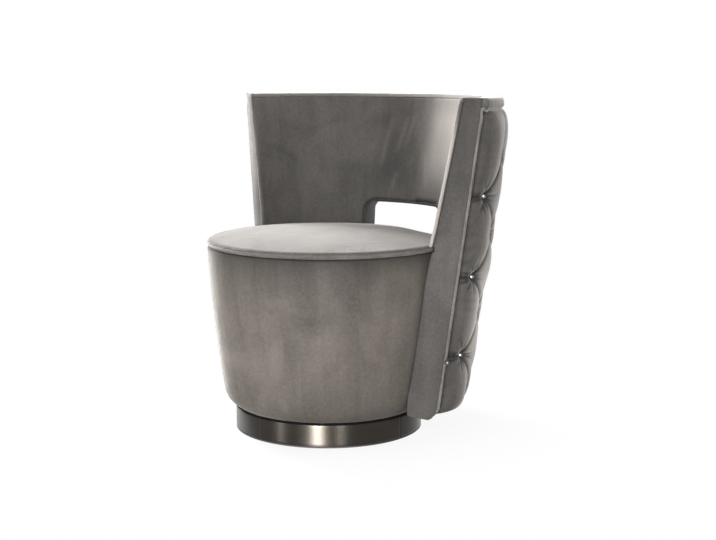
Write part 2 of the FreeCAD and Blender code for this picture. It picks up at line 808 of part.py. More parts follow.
def arm_piece(name, side, corners, depth, low=None):
    """Flat piece cut to an outline on the arm plane and given a depth behind it."""
    body = new_body(name)
    sketch = new_sketch(body, "XZ_Plane", name + "_outline", None if low is None else -low)
    draw(sketch, [(c[0] * side, c[1]) + ((c[2], c[3] * side) if len(c) > 2 else ())
                  for c in corners])
    pad = body.newObject("PartDesign::Pad", name + "_depth")
    pad.Profile = sketch
    pad.setExpression("Length", depth.text)
    pad.Reversed = True
    body.setExpression("Placement.Rotation.Angle", (d.arm_toe_angle * side).text)
    body.setExpression("Placement.Base.y", (-d.arm_plane_setback).text)
    return body


welt_gap = d.arm_welt_radius + d.fit_gap * 2
corner_high = hem_low + d.facing_corner
back = d.facing_thickness
welt_out = d.seat_radius + d.seat_welt_radius + d.fit_gap
facing_outline = [
    (along(d.drum_foot_radius + d.fit_gap * 2, back), hem_low),
    (along(d.back_foot_radius + roll, ZERO), hem_low),
    (along(outside(corner_high), ZERO) - welt_gap, corner_high),
    (along(outside(panel_high), ZERO) - welt_gap, panel_high),
    (along(panel_in(panel_high), back), panel_high),
    (along(panel_in(pad_low), back), pad_low),
    (along(welt_out, back), pad_low),
    (along(welt_out, back), cover_high),
    (along(d.seat_radius + d.fit_gap * 2, back), cover_high, d.drum_side_round, 1),
    (along(d.drum_shoulder_radius + d.fit_gap * 2, back), shoulder_height, d.drum_foot_round, 1),
]
post_corners = [
    (plane_shift + d.drum_shoulder_radius + d.drum_side_gap, rail_low),
    (along(d.back_foot_radius - d.panel_thickness, facing_back), rail_low),
    (along(frame_out(rail_high), facing_back), rail_high),
    (along(frame_out(panel_high), facing_back), panel_high),
    (plane_shift + frame_in(panel_high), panel_high),
    (plane_shift + frame_in(pad_low), pad_low),
    (plane_shift + d.seat_radius + d.drum_side_gap, d.seat_height),
    (plane_shift + d.drum_shoulder_radius + d.drum_side_gap, rail_high),
]
for name, side in (("left", 1), ("right", -1)):
    keep(arm_piece("arm_facing_" + name, side, facing_outline, d.facing_thickness))
    keep(arm_piece("arm_post_" + name, side, post_corners, d.arm_post_depth, facing_back))
    turn = FreeCAD.Rotation(Vector(0, 0, 1), d.arm_toe_angle.value * side)
    tips = []
    for height in (corner_high, panel_high - d.arm_welt_radius * outer_slope):
        reach = along(outside(height), d.arm_welt_radius).value * side
        spot = Vector(reach, d.arm_welt_radius.value, height.value)
        tips.append(turn.multVec(spot) - Vector(0, d.arm_plane_setback.value, 0))
    run = tips[1] - tips[0]
    cord = doc.addObject("Part::Cylinder", "arm_welt_" + name)
    cord.setExpression("Radius", d.arm_welt_radius.text)
    cord.Height = run.Length
    cord.Placement = FreeCAD.Placement(tips[0], FreeCAD.Rotation(Vector(0, 0, 1), run))
    cord.Label = "arm_welt_" + name
    keep(cord)

# Deep buttoning.  Columns of buttons alternate between two sets of rows, half a
# pitch apart, and pleats join each button to the four around it.  Every section of
# the pad has the same arcs: those centred on one set of rows swell from a button's
# width to a full pillow as those centred on the other set close again.
column_step = d.tuft_column_angle.value
side_columns = count("tuft_side_columns")
first_row = d.tuft_first_row.value
pitch = d.tuft_pitch.value
land = d.tuft_button_land.value
crown = d.tuft_crown.value
button_rise = d.tuft_button_height.value
pleat_rise = d.tuft_pleat_height.value
edge_rise = d.tuft_edge_height.value
pad_top = panel_high.value
pad_bottom = hem_low.value
low_rows = [first_row]
while low_rows[-1] + pitch < pad_top - pitch / 3:
    low_rows.append(low_rows[-1] + pitch)
high_rows = [z + pitch / 2 for z in low_rows[:-1]]
SUBSTEPS = 3
facet = 1 / math.cos(math.radians(column_step / SUBSTEPS / 2))


def backing(height):
    """Radius the pad is measured from: the outer panel, rounded in at the foot."""
    round_height = rail_high.value - pad_bottom
    base = outside(Size("0", height)).value
    if height >= rail_high.value:
        return base
    share = (rail_high.value - height) / round_height
    inward = d.back_outer_low_radius.value - d.back_foot_radius.value
    return base - inward * (1 - math.sqrt(max(0.0, 1 - share * share)))


def pad_section(place, share, fade):
    """One closed section.  share runs from 0 at a low-row column to 1 at a high-row one;
    fade draws the swell down to the edge height at the arms."""
    reach = land / 2 + (pitch / 2 - land) * share
    steep = math.sqrt(share)
    dips = []
    for index, row in enumerate(low_rows):
        below = row - reach
        above = row + reach
        if index == 0:
            below = row - land / 2 - (row - land - pad_bottom) * steep * 0.8
        if index == len(low_rows) - 1:
            above = row + land / 2 + (pad_top - row - land) * steep
        dips += [below, above]
    dip_rise = button_rise + (pleat_rise - button_rise) * math.sin(math.pi * share)
    opening_swell = math.sin(math.pi / 2 * share) ** 0.7
    closing_swell = math.cos(math.pi / 2 * share) ** 0.7 if share < 1 else 0.0
    heights = [pad_bottom] + dips + [pad_top]
    rises = [d.tuft_top_height.value] + [dip_rise] * len(dips) + [d.tuft_top_height.value]
    points = [place(backing(z) + edge_rise + (h - edge_rise) * fade, z)
              for z, h in zip(heights, rises)]
    edges = []
    for index in range(len(heights) - 1):
        if index in (0, len(heights) - 2):
            swell = 0.15
        else:
            swell = opening_swell if index % 2 else closing_swell
        middle = (heights[index] + heights[index + 1]) / 2
        chord = (rises[index] + rises[index + 1]) / 2
        half_span = (heights[index + 1] - heights[index]) / 2
        lift = min((crown - chord) * swell, half_span * 0.8)
        top = edge_rise + (chord + max(lift, 0.4) - edge_rise) * fade
        if fade < 0.5:
            top += 0.4
        ends = (backing(heights[index]) + backing(heights[index + 1])) / 2
        edges.append(Part.Arc(points[index], place(ends + top, middle), points[index + 1]).toShape())
    foot_in = place((d.back_foot_radius.value + d.fit_gap.value) * facet, pad_bottom)
    bend_in = place((outside(rail_high).value + d.fit_gap.value) * facet, rail_high.value)
    top_in = place((outside(panel_high).value + d.fit_gap.value) * facet, pad_top)
    for start, end in ((points[-1], top_in), (top_in, bend_in), (bend_in, foot_in),
                       (foot_in, points[0])):
        edges.append(Part.LineSegment(start, end).toShape())
    return Part.Wire(edges)


def spoke(angle):
    """Maps radius and height into the radial plane at an angle from the back."""
    c, s = math.cos(math.radians(angle)), math.sin(math.radians(angle))
    return lambda radius, height: Vector(radius * s, radius * c, height)


def arm_end(side):
    """Maps radius and height into the plane just behind the arm's facing."""
    depth = facing_back.value
    turn = FreeCAD.Rotation(Vector(0, 0, 1), d.arm_toe_angle.value * side)
    shift = Vector(0, -d.arm_plane_setback.value, 0)

    def place(radius, height):
        reach = along(Size("0", radius), Size("0", depth)).value * side
        return turn.multVec(Vector(reach, depth, height)) + shift
    return place


end_angle = side_columns * column_step
edge_point = arm_end(1)(outside(border_low).value, border_low.value)
arm_angle = math.degrees(math.atan2(edge_point.x, edge_point.y))
sections = [pad_section(arm_end(-1), 1.0, 0.0)]
sections.append(pad_section(spoke(-(end_angle + (arm_angle - end_angle) * 0.55)), 1.0, 0.72))
steps = 2 * side_columns * SUBSTEPS
for step in range(steps + 1):
    column = step / SUBSTEPS - side_columns
    from_end = (side_columns - abs(column)) % 2
    share = abs(1 - from_end)
    sections.append(pad_section(spoke(column * column_step), share, 1.0))
sections.append(pad_section(spoke(end_angle + (arm_angle - end_angle) * 0.55), 1.0, 0.72))
sections.append(pad_section(arm_end(1), 1.0, 0.0))
pad_shape = Part.makeLoft(sections, True, True)
tufted_blank = doc.addObject("Part::Feature", "tufted_blank")
tufted_blank.Shape = pad_shape

# Buttons sit in flat seats at the crossings, square to the leaning back.
lean_angle = math.atan(outer_slope.value)
margin = d.lining_thickness.value * 4
seats = []
crystals = []
for column in range(-side_columns, side_columns + 1):
    angle = column * column_step
    rows = low_rows if (side_columns - abs(column)) % 2 else high_rows
    outward = Vector(math.sin(math.radians(angle)), math.cos(math.radians(angle)), 0)
    axis = outward * math.cos(lean_angle) - Vector(0, 0, math.sin(lean_angle))
    for height in rows:
        in_width = abs(angle) < d.opening_half_angle.value
        in_height = rough_low.value - margin < height < rough_high.value + margin
        if in_width and in_height:
            continue
        depth = backing(height) + button_rise - d.button_sink.value
        place = FreeCAD.Placement(outward * depth + Vector(0, 0, height),
                                  FreeCAD.Rotation(Vector(0, 0, 1), axis))
        seats.append(rod("button_seat_%02d" % len(seats), d.button_radius + d.fit_gap * 2,
                         d.tuft_crown * 2, place))
        loops = []
        girdle = d.button_girdle.value
        for radius, level in ((d.button_radius.value, 0.0), (d.button_radius.value, girdle),
                              (d.button_table_radius.value, girdle + d.button_crown.value)):
            ring_points = []
            for number in range(9):
                turn = math.pi * number / 4
                ring_points.append(Vector(radius * math.cos(turn), radius * math.sin(turn), level))
            loops.append(Part.makePolygon(ring_points))
        crystal = Part.makeLoft(loops, True, True)
        crystal.Placement = place
        crystals.append(crystal)
tuft_buttons = doc.addObject("Part::Feature", "tuft_buttons")
tuft_buttons.Shape = Part.makeCompound(crystals)
keep(tuft_buttons)
seated = cut("tufted_seated", tufted_blank, group("button_seats", seats))
keep(cut("tufted_back", seated, rough_opening))

# Finish: every object has to be sound before its node is written.
doc.recompute()
for item in doc.Objects:
    bad = [flag for flag in item.State if flag in ("Invalid", "Error")]
    if bad:
        raise RuntimeError("%s is %s" % (item.Label, bad))
for name, item in nodes.items():
    shape = item.Shape
    if shape.isNull() or not shape.isValid() or not shape.Solids:
        raise RuntimeError("%s has no sound solid" % name)
    shape.exportStep("parts/%s.step" % name)
    print("%-20s %2d solids %10.1f cm3" % (name, len(shape.Solids), shape.Volume / 1000))
print(len(nodes), "nodes")
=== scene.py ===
import math

import bpy
import bmesh
import numpy as np
from bpy.props import FloatProperty, FloatVectorProperty, IntProperty, PointerProperty
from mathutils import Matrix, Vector, noise


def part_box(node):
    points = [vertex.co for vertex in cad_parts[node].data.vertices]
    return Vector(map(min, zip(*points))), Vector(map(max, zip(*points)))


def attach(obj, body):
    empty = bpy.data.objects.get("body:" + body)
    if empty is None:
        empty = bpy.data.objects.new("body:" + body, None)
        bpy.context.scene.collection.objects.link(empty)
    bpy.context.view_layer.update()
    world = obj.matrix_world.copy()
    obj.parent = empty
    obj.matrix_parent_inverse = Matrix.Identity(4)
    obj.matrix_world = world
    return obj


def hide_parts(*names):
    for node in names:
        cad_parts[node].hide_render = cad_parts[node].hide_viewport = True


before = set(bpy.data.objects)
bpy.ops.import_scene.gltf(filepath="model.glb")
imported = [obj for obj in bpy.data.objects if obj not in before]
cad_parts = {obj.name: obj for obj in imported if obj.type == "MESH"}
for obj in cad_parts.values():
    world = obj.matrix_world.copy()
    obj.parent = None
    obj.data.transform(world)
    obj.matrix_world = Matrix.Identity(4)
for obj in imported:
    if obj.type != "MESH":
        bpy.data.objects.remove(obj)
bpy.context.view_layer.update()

bl_info = {
    "name": "Buttoned swivel cocktail chair",
    "version": (1, 0, 0),
    "blender": (4, 5, 0),
    "location": "View3D > Sidebar > Chair",
    "description": "Dresses the packed cocktail chair in velvet, piping, buttons and brushed steel",
    "category": "Object",
}

# Metres, +Z up.  The swivel axis is Z, the sitter faces -Y, and angles are measured
# from the middle of the back (+Y) towards the sitter's left (+X).
WELT_LOW, WELT_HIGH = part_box("seat_welt")
BORDER_LOW, BORDER_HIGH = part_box("top_border")
PLINTH_LOW, PLINTH_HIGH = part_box("plinth_band")
FIT = 0.0003                # air left between two pieces that meet
QUARTER, HALF, ROUND = math.pi / 2, math.pi, 2 * math.pi
CUSHION_LOW = 0.3968        # underside of the seat cushion
BUTTON_ROWS = 6             # half pitches from the lowest to the highest buttons


def length(name, description, default):
    return FloatProperty(name=name, description=description, default=default, min=0.0,
                         unit="LENGTH", precision=4)


def turn(name, description, degrees):
    return FloatProperty(name=name, description=description, default=math.radians(degrees),
                         unit="ROTATION", subtype="ANGLE")


def colour(name, description, rgb):
    return FloatVectorProperty(name=name, description=description, default=rgb, size=3,
                               min=0.0, max=1.0, subtype="COLOR")


class ChairSizes(bpy.types.PropertyGroup):
    """Sizes of the upholstery and the base"""
    chair_height: length("Chair height", "Floor to the top of the back", BORDER_HIGH.z)
    seat_height: length("Seat height", "Floor to the middle of the seat piping",
                        (WELT_LOW.z + WELT_HIGH.z) / 2)
    welt_radius: length("Seat piping radius", "Half the thickness of the seat piping",
                        (WELT_HIGH.z - WELT_LOW.z) / 2)
    seat_radius: length("Seat radius", "Swivel axis to the middle of the seat piping",
                        WELT_HIGH.x - (WELT_HIGH.z - WELT_LOW.z) / 2)
    seat_crown: length("Seat crown", "Rise of the seat above its piping", 0.029)
    hem_low: length("Hem height", "Floor to the underside of the drum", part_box("drum_cover")[0].z)
    drum_shoulder_radius: length("Drum shoulder radius", "Drum radius above its foot", 0.2445)
    drum_shoulder_height: length("Drum shoulder height", "Where the foot begins to round", 0.10224)
    drum_foot_radius: length("Drum foot radius", "Drum radius at the hem", 0.214)
    drum_side_round: length("Drum side round", "Radius of the bowed side", 3.2)
    drum_foot_round: length("Drum foot round", "Radius of the rounded foot", 0.056)
    plinth_radius: length("Plinth radius", "Outside radius of the steel band", PLINTH_HIGH.x)
    plinth_low: length("Plinth underside", "Floor to the band's lower edge", PLINTH_LOW.z)
    plinth_high: length("Plinth top", "Floor to the band's upper edge", PLINTH_HIGH.z)
    plinth_wall: length("Plinth wall", "Thickness of the steel band", 0.002)
    inner_low_radius: length("Back inner radius", "Inside face at seat height", 0.2680)
    inner_top_radius: length("Back inner top radius", "Inside face at the top", 0.334)
    panel_low_radius: length("Inner panel radius", "Panel behind the pad at seat height", 0.2945)
    panel_top_radius: length("Inner panel top radius", "Panel behind the pad at the top", 0.346)
    outer_low_radius: length("Back outer radius", "Outer panel at the foot", 0.286)
    outer_top_radius: length("Back outer top radius", "Outer panel at the top", 0.384)
    foot_tuck: length("Foot tuck", "How far the back rounds in at its foot", 0.024)
    foot_height: length("Foot round height", "Where the back's foot begins to round", 0.09754)
    inner_bead: length("Inner bead", "Thickness of the inner pad's rolled front edge", 0.009)
    border_low: length("Border seam", "Floor to the seam under the top band", BORDER_LOW.z)
    border_swell: length("Border swell", "How far the top band stands out", 0.014)
    arm_setback: length("Arm setback", "Where the two arm planes meet, ahead of the axis", 0.046)
    arm_toe: turn("Arm toe-out", "How far each arm front is turned outwards", 20.0)
    arm_twist: length("Arm twist", "How far an arm front's inner edge stands forward at its foot",
                      0.046)
    facing: length("Facing thickness", "Depth of the padded arm front", 0.008)
    arm_welt: length("Arm piping radius", "Half the thickness of the arm piping", 0.0035)
    opening_half: turn("Opening half angle", "Half the width of the opening in the back", 24.6)
    opening_head: length("Opening head", "Floor to the top of the opening", 0.494)
    opening_sill: length("Opening sill", "Floor to the bottom of the opening", 0.410)
    opening_round: length("Opening round", "Radius of the opening's upper corners", 0.025)
    opening_foot: length("Opening foot round", "Radius of the opening's lower corners", 0.006)
    lining: length("Opening lining", "Thickness of the lining in the opening", 0.005)
    column_angle: turn("Button column angle", "Angle between two button columns", 14.4)
    side_columns: IntProperty(name="Side columns", description="Button columns each side",
                              default=5)
    first_row: length("First button row", "Floor to the lowest buttons", 0.103)
    row_pitch: length("Button pitch", "Height between buttons of one column", 0.178)
    tuft_crown: length("Tuft crown", "Height of a pillow over the outer panel", 0.038)
    tuft_pleat: length("Tuft pleat", "Height of a pleat midway between buttons", 0.031)
    tuft_button: length("Tuft button depth", "Height of the pad under a button", 0.023)
    stone_radius: length("Stone radius", "Radius of a crystal button", 0.008)


class ChairColours(bpy.types.PropertyGroup):
    """Colours of the finishes"""
    velvet: colour("Velvet", "Pile of the upholstery", (0.150, 0.138, 0.127))
    steel: colour("Brushed steel", "Band of the plinth", (0.042, 0.037, 0.032))
    timber: colour("Timber", "Beech rails and posts", (0.52, 0.36, 0.21))
    ply: colour("Plywood", "Drum boards and bent panels", (0.58, 0.43, 0.27))
    cambric: colour("Cambric", "Dust covers under the seat", (0.016, 0.016, 0.017))
    floor: colour("Floor", "Plain studio floor", (0.86, 0.86, 0.86))


# ---------------------------------------------------------------- node building

class Wire:
    """A socket that can be used in sums; every sum adds its Math node."""

    def __init__(self, tree, socket):
        self.tree = tree
        self.socket = socket

    def maths(self, operation, first, second=0.0):
        return self.tree.node("ShaderNodeMath", {"operation": operation}, {0: first, 1: second})

    def __add__(self, other):
        return self.maths("ADD", self, other)

    def __sub__(self, other):
        return self.maths("SUBTRACT", self, other)

    def __rsub__(self, other):
        return self.maths("SUBTRACT", other, self)

    def __mul__(self, other):
        return self.maths("MULTIPLY", self, other)

    def __rtruediv__(self, other):
        return self.maths("DIVIDE", other, self)

    def __pow__(self, other):
        return self.maths("POWER", self, other)

    __radd__, __rmul__ = __add__, __mul__

    def sine(self):
        return self.maths("SINE", self)

    def spread(self, gain):
        """Noise about a half, pulled apart and held between 0 and 1."""
        return self.tree.node("ShaderNodeClamp", {}, {"Value": (self - 0.5) * gain + 0.5})

    def beside(self, *names):
        """Other outputs of the same node."""
        return [Wire(self.tree, self.socket.node.outputs[name]) for name in names]


class NodeTree:
    """Adds nodes to a tree: the type, its settings, then its sockets."""

    def __init__(self, tree):
        self.tree = tree

    def node(self, kind, settings=None, inputs=None, output=0):
        made = self.tree.nodes.new(kind)
        for key, value in (settings or {}).items():
            setattr(made, key, value)
        for key, value in (inputs or {}).items():
            if isinstance(value, Wire):
                self.tree.links.new(value.socket, made.inputs[key])
            else:
                made.inputs[key].default_value = value
        return Wire(self, made.outputs[output]) if len(made.outputs) else None


class Finish(NodeTree):
    """A material built from nodes on Object coordinates."""

    def __init__(self, name):
        self.material = bpy.data.materials.new(name)
        self.material.use_nodes = True
        super().__init__(self.material.node_tree)
        self.tree.nodes.clear()
        self.place = self.node("ShaderNodeTexCoord", output="Object")

    def grain(self, scale, detail=2.0, rough=0.5, stretch=None, warp=0.0):
        where = self.place
        if stretch:
            where = self.node("ShaderNodeMapping", {}, {"Vector": where, "Scale": stretch})
        return self.node("ShaderNodeTexNoise", {}, {
            "Vector": where, "Scale": scale, "Detail": detail, "Roughness": rough,
            "Distortion": warp}, "Fac")

    def axes(self):
        split = self.node("ShaderNodeSeparateXYZ", {}, {"Vector": self.place})
        return split.beside("X", "Y", "Z")

    def marked(self, name):
        """Value that a mesh keeps for each of its points."""
        return self.node("ShaderNodeAttribute", {"attribute_name": name}, {}, "Fac")

    def blend(self, share, first, second):
        first, second = (c if isinstance(c, Wire) else (*c, 1.0) for c in (first, second))
        return self.node("ShaderNodeMix", {"data_type": "RGBA"},
                         {0: share, 6: first, 7: second}, 2)

    def mottled(self, share, rgb, dark, pale):
        """Colour that runs from a darker to a paler tone of itself."""
        return self.blend(share, toned(rgb, dark), toned(rgb, pale))

    def relief(self, height, depth, strength=1.0):
        return self.node("ShaderNodeBump", {}, {
            "Height": height, "Distance": depth, "Strength": strength})

    def surface(self, **sockets):
        self.close(self.node("ShaderNodeBsdfPrincipled", {}, {
            key.replace("_", " "): value for key, value in sockets.items()}))
        return self.material

    def close(self, shader):
        self.node("ShaderNodeOutputMaterial", {}, {"Surface": shader})


def toned(rgb, share):
    return tuple(min(1.0, channel * share) for channel in rgb)


finishes = {}
BRUSHED = {"up": (24, 24, 2.6), "round": (9, 9, 30), "over": (14, 5, 14)}
PAINTED_SHADE_TONE, PAINTED_HIGHLIGHT_TONE = 0.12, 4.4    # share of the colour under full painted shade and under full painted highlight


def velvet(painted_light_tone, brush, name, sheen=1.0, with_painted_shade=False, warm=0.0):
    """Short grey pile.  Hands and brushing leave it in lighter and darker patches."""
    if name in finishes:
        return finishes[name]
    # painted light: painted_light_tone makes this piece's copy of the velvet lighter or darker
    # after how light falls on it
    red, green, blue = toned(bpy.context.scene.chair_colours.velvet, painted_light_tone)
    base = (red * (1 + warm), green, blue * (1 - warm))
    finish = Finish(name)
    patches = finish.grain(7.5, 3.0, 0.55, warp=0.9).spread(2.3)
    strokes = finish.grain(1.0, 3.0, 0.6, stretch=BRUSHED[brush], warp=0.4).spread(2.2)
    pile = finish.grain(620.0, 2.0, 0.6)
    ribs = finish.grain(1.0, 1.0, 0.4, stretch=(160, 160, 160)).spread(1.8)
    share = patches * 0.36 + strokes * 0.26 + ribs * 0.22 + pile * 0.16
    shade = finish.mottled(share, base, 0.45, 1.55)
    # painted shade: where with_painted_shade is set, the mesh's fold mark darkens the pile down to
    # PAINTED_SHADE_TONE
    if with_painted_shade:
        shade = finish.blend(finish.marked("fold"), toned(base, PAINTED_SHADE_TONE), shade)
    # painted highlight: the mesh's nap mark turns the pile pale, as if lit
    painted_highlight_share = finish.marked("nap") * (0.7 + 0.3 * pile)
    shade = finish.blend(painted_highlight_share, shade, toned(base, PAINTED_HIGHLIGHT_TONE / painted_light_tone))
    finishes[name] = finish.surface(
        Base_Color=shade, Roughness=0.9 - strokes * 0.16,
        Normal=finish.relief(pile + ribs * 0.8, 0.0007, 0.4),
        Specular_IOR_Level=0.12, Sheen_Weight=sheen, Sheen_Roughness=0.30,
        Sheen_Tint=(0.90, 0.88, 0.86, 1.0))
    return finishes[name]


def brushed_steel():
    """Stainless band, brushed along its length."""
    finish = Finish("brushed_stainless")
    lines = finish.grain(1.0, 3.0, 0.7, stretch=(5, 5, 2600))
    broad = finish.grain(1.0, 2.0, 0.5, stretch=(3, 3, 420))
    stain = finish.grain(16.0, 3.0, 0.6, warp=0.6).spread(1.8)
    shade = finish.mottled(lines * 0.5 + broad * 0.3 + stain * 0.2,
                           bpy.context.scene.chair_colours.steel, 0.62, 1.4)
    return finish.surface(
        Base_Color=shade, Metallic=1.0, Roughness=0.30 + lines * 0.07 + stain * 0.04,
        Normal=finish.relief(lines + broad, 0.00012, 0.35),
        Anisotropic=0.94, Anisotropic_Rotation=0.25)


def plain_metal(name, rgb, rough, mottle=0.12):
    """Turned or pressed metal with faint stains and scratches."""
    finish = Finish(name)
    stain = finish.grain(55.0, 4.0, 0.6, warp=0.4).spread(2.0)
    scratch = finish.grain(1.0, 2.0, 0.6, stretch=(700, 60, 700)).spread(2.0)
    return finish.surface(
        Base_Color=finish.mottled(stain, rgb, 1 - mottle, 1 + mottle), Metallic=1.0,
        Roughness=scratch * 0.12 + rough, Normal=finish.relief(scratch, 0.00005, 0.3))


def timber():
    """Beech with its rings and pores along the height."""
    finish = Finish("frame_timber")
    rings = finish.grain(1.0, 4.0, 0.55, stretch=(14, 14, 46), warp=0.8).spread(2.2)
    pores = finish.grain(1.0, 2.0, 0.6, stretch=(60, 60, 420)).spread(3.0)
    shade = finish.mottled(rings * 0.75 + pores * 0.25,
                           bpy.context.scene.chair_colours.timber, 0.7, 1.15)
    return finish.surface(Base_Color=shade, Roughness=pores * 0.15 + 0.5,
                          Normal=finish.relief(pores, 0.0003, 0.4))


def plywood(ply=0.0036):
    """Layers that show on the edges, and the figure of the face."""
    finish = Finish("plywood")
    height = finish.axes()[2]
    plies = ((height * (ROUND / ply)).sine() * 0.5 + 0.5).spread(3.0)
    figure = finish.grain(1.0, 4.0, 0.55, stretch=(8, 60, 8), warp=0.6).spread(1.8)
    shade = finish.mottled(plies * 0.4 + figure * 0.6,
                           bpy.context.scene.chair_colours.ply, 0.68, 1.12)
    return finish.surface(Base_Color=shade, Roughness=figure * 0.12 + 0.55,
                          Normal=finish.relief(figure, 0.0003, 0.3))


def speckled(name, rgb, rough, scale, depth):
    """Matt moulded or painted finish with a fine speckle."""
    finish = Finish(name)
    fine = finish.grain(scale, 3.0, 0.6)
    broad = finish.grain(scale / 14, 2.0, 0.5).spread(1.8)
    shade = finish.mottled(fine * 0.5 + broad * 0.5, rgb, 0.75, 1.3)
    return finish.surface(Base_Color=shade, Roughness=fine * 0.16 + rough,
                          Normal=finish.relief(fine, depth, 0.4))


def woven(name, rgb, pitch, rough=0.85):
    """Plain weave: threads over and under on X and Y."""
    finish = Finish(name)
    x, y, _ = finish.axes()
    turns = ROUND / pitch
    weave = ((x * turns).sine() * (y * turns).sine()) * 0.5 + 0.5
    slub = finish.grain(1.0, 2.0, 0.5, stretch=(900, 60, 60))
    shade = finish.mottled(weave * 0.6 + slub * 0.4, rgb, 0.55, 1.5)
    return finish.surface(Base_Color=shade, Roughness=weave * 0.1 + rough,
                          Normal=finish.relief(weave, pitch * 0.2, 0.5))


def crystal():
    """Cut stone, a little smoky, under a clear polish."""
    finish = Finish("crystal")
    flaw = finish.grain(260.0, 2.0, 0.5).spread(1.5)
    shade = finish.blend(flaw, (0.16, 0.165, 0.175), (0.34, 0.345, 0.36))
    return finish.surface(Base_Color=shade, Metallic=0.35, Roughness=flaw * 0.03 + 0.03,
                          IOR=1.6, Coat_Weight=1.0, Coat_Roughness=0.02)


# ---------------------------------------------------------------- shapes

def polar(radius, angle, height):
    radius, angle, height = np.broadcast_arrays(radius, angle, height)
    return np.stack([radius * np.sin(angle), radius * np.cos(angle), height], -1)


def unrolled(points):
    """Angle and radius of points about the swivel axis."""
    x, y = points[..., 0], points[..., 1]
    return np.arctan2(x, y), np.hypot(x, y)


def quarter(share):
    """Quarter round: steep at 0, level at 1."""
    rest = 1 - np.clip(share, 0, 1)
    return np.sqrt(1 - rest * rest)


def ease(share):
    """Smooth step from 0 to 1."""
    share = np.clip(share, 0, 1)
    return share * share * (3 - 2 * share)


def bell(distance, width):
    """1 at distance 0, fading on both sides."""
    return np.exp(-(distance / width) ** 2)


def shaded(distance, depth, reach):
    """Painted shade that darkens by a depth towards distance 0."""
    return 1 - depth * np.exp(-np.maximum(distance, 0) / reach)


def flow(points, scale, seed=0):
    """Smooth noise, one value a point, the same on every run."""
    shift = Vector((seed * 7.31, seed * 3.17, seed * 5.73))
    flat = points.reshape(-1, 3)
    values = [noise.noise(Vector(p) * scale + shift) for p in flat.tolist()]
    return np.array(values).reshape(points.shape[:-1])


class Shell:
    """The two cones of the back and the planes of the arm fronts."""

    def __init__(self, s):
        self.s = s
        self.inner_slope = ((s.inner_top_radius - s.inner_low_radius)
                            / (s.chair_height - s.seat_height))
        self.outer_slope = ((s.outer_top_radius - s.outer_low_radius)
                            / (s.chair_height - s.hem_low))
        self.lean = math.atan(self.outer_slope)

    def inside(self, z):
        return self.s.inner_low_radius + (z - self.s.seat_height) * self.inner_slope

    def panel(self, z):
        s = self.s
        share = (z - s.seat_height) / (s.chair_height - s.seat_height)
        return s.panel_low_radius + (s.panel_top_radius - s.panel_low_radius) * share

    def outside(self, z):
        return self.s.outer_low_radius + (z - self.s.hem_low) * self.outer_slope

    def backing(self, z):
        """Outer panel with its rounded foot."""
        s = self.s
        share = np.clip((s.foot_height - z) / (s.foot_height - s.hem_low), 0, 1)
        return self.outside(z) - s.foot_tuck * (1 - np.sqrt(1 - share * share))

    def arm_angle(self, radius, depth):
        """Angle from the back at which a radius meets the plane a depth behind the arm front."""
        offset = (depth - self.s.arm_setback * math.cos(self.s.arm_toe)) / radius
        return np.arccos(offset) - self.s.arm_toe

    def twist(self, z):
        """How far the inner edge of the arm front stands forward at a height."""
        seat = self.s.seat_height
        heights = (self.s.hem_low, 0.26, seat - 0.08, seat - 0.03, seat - 0.015,
                   seat + 0.006, seat + 0.05)
        return self.s.arm_twist * np.interp(z, heights, (1, 0.81, 0.70, 0.49, 0.36, 0.18, 0.10))

    def on_arm(self, side, radius, depth, height):
        return polar(radius, side * self.arm_angle(radius, depth), height)

    def opening(self, angle, z, grow):
        """Distance outside the rounded opening, grown by a margin, in the unrolled back."""
        s = self.s
        half = s.opening_half * s.inner_low_radius + grow
        tall = (s.opening_head - s.opening_sill) / 2 + grow
        rise = z - (s.opening_head + s.opening_sill) / 2
        corner = np.where(rise > 0, s.opening_round + grow, s.opening_foot + grow)
        dx = np.abs(angle) * s.inner_low_radius - half + corner
        dz = np.abs(rise) - tall + corner
        outer = np.hypot(np.maximum(dx, 0), np.maximum(dz, 0))
        return np.minimum(np.maximum(dx, dz), 0) + outer - corner


def touching(cells):
    """Points of a grid that touch a marked cell."""
    rows, columns = cells.shape
    points = np.zeros((rows + 1, columns + 1), bool)
    for a in (0, 1):
        for b in (0, 1):
            points[a:rows + a, b:columns + b] |= cells
    return points


def cut_opening(shell, angle, z, grow):
    """Cells outside the opening, with the points along its edge drawn onto the edge."""
    gap = shell.opening(angle, z, grow)
    keep = (gap[:-1, :-1] + gap[1:, :-1] + gap[1:, 1:] + gap[:-1, 1:]) / 4 > 0
    edge = touching(keep) & touching(~keep)
    reach = shell.s.inner_low_radius
    step = 1e-4
    for _ in range(6):
        gap = shell.opening(angle, z, grow)
        da = (shell.opening(angle + step / reach, z, grow) - gap) / step
        dz = (shell.opening(angle, z + step, grow) - gap) / step
        size = np.maximum(da * da + dz * dz, 1e-6)
        angle = np.where(edge, angle - gap * da / size / reach, angle)
        z = np.where(edge, z - gap * dz / size, z)
    return angle, z, keep


def arc(start, end, radius, steps):
    """Arc that bulges to the left of the way from start to end."""
    start, end = np.array(start), np.array(end)
    chord = end - start
    reach = np.hypot(*chord)
    left = np.array([-chord[1], chord[0]]) / reach
    depth = math.sqrt(radius ** 2 - (reach / 2) ** 2)
    centre = (start + end) / 2 - left * depth
    half = math.asin(reach / 2 / radius)
    sweep = np.linspace(half, -half, steps)[:, None]
    along = chord / reach
    return centre + radius * (left * np.cos(sweep) - along * np.sin(sweep))


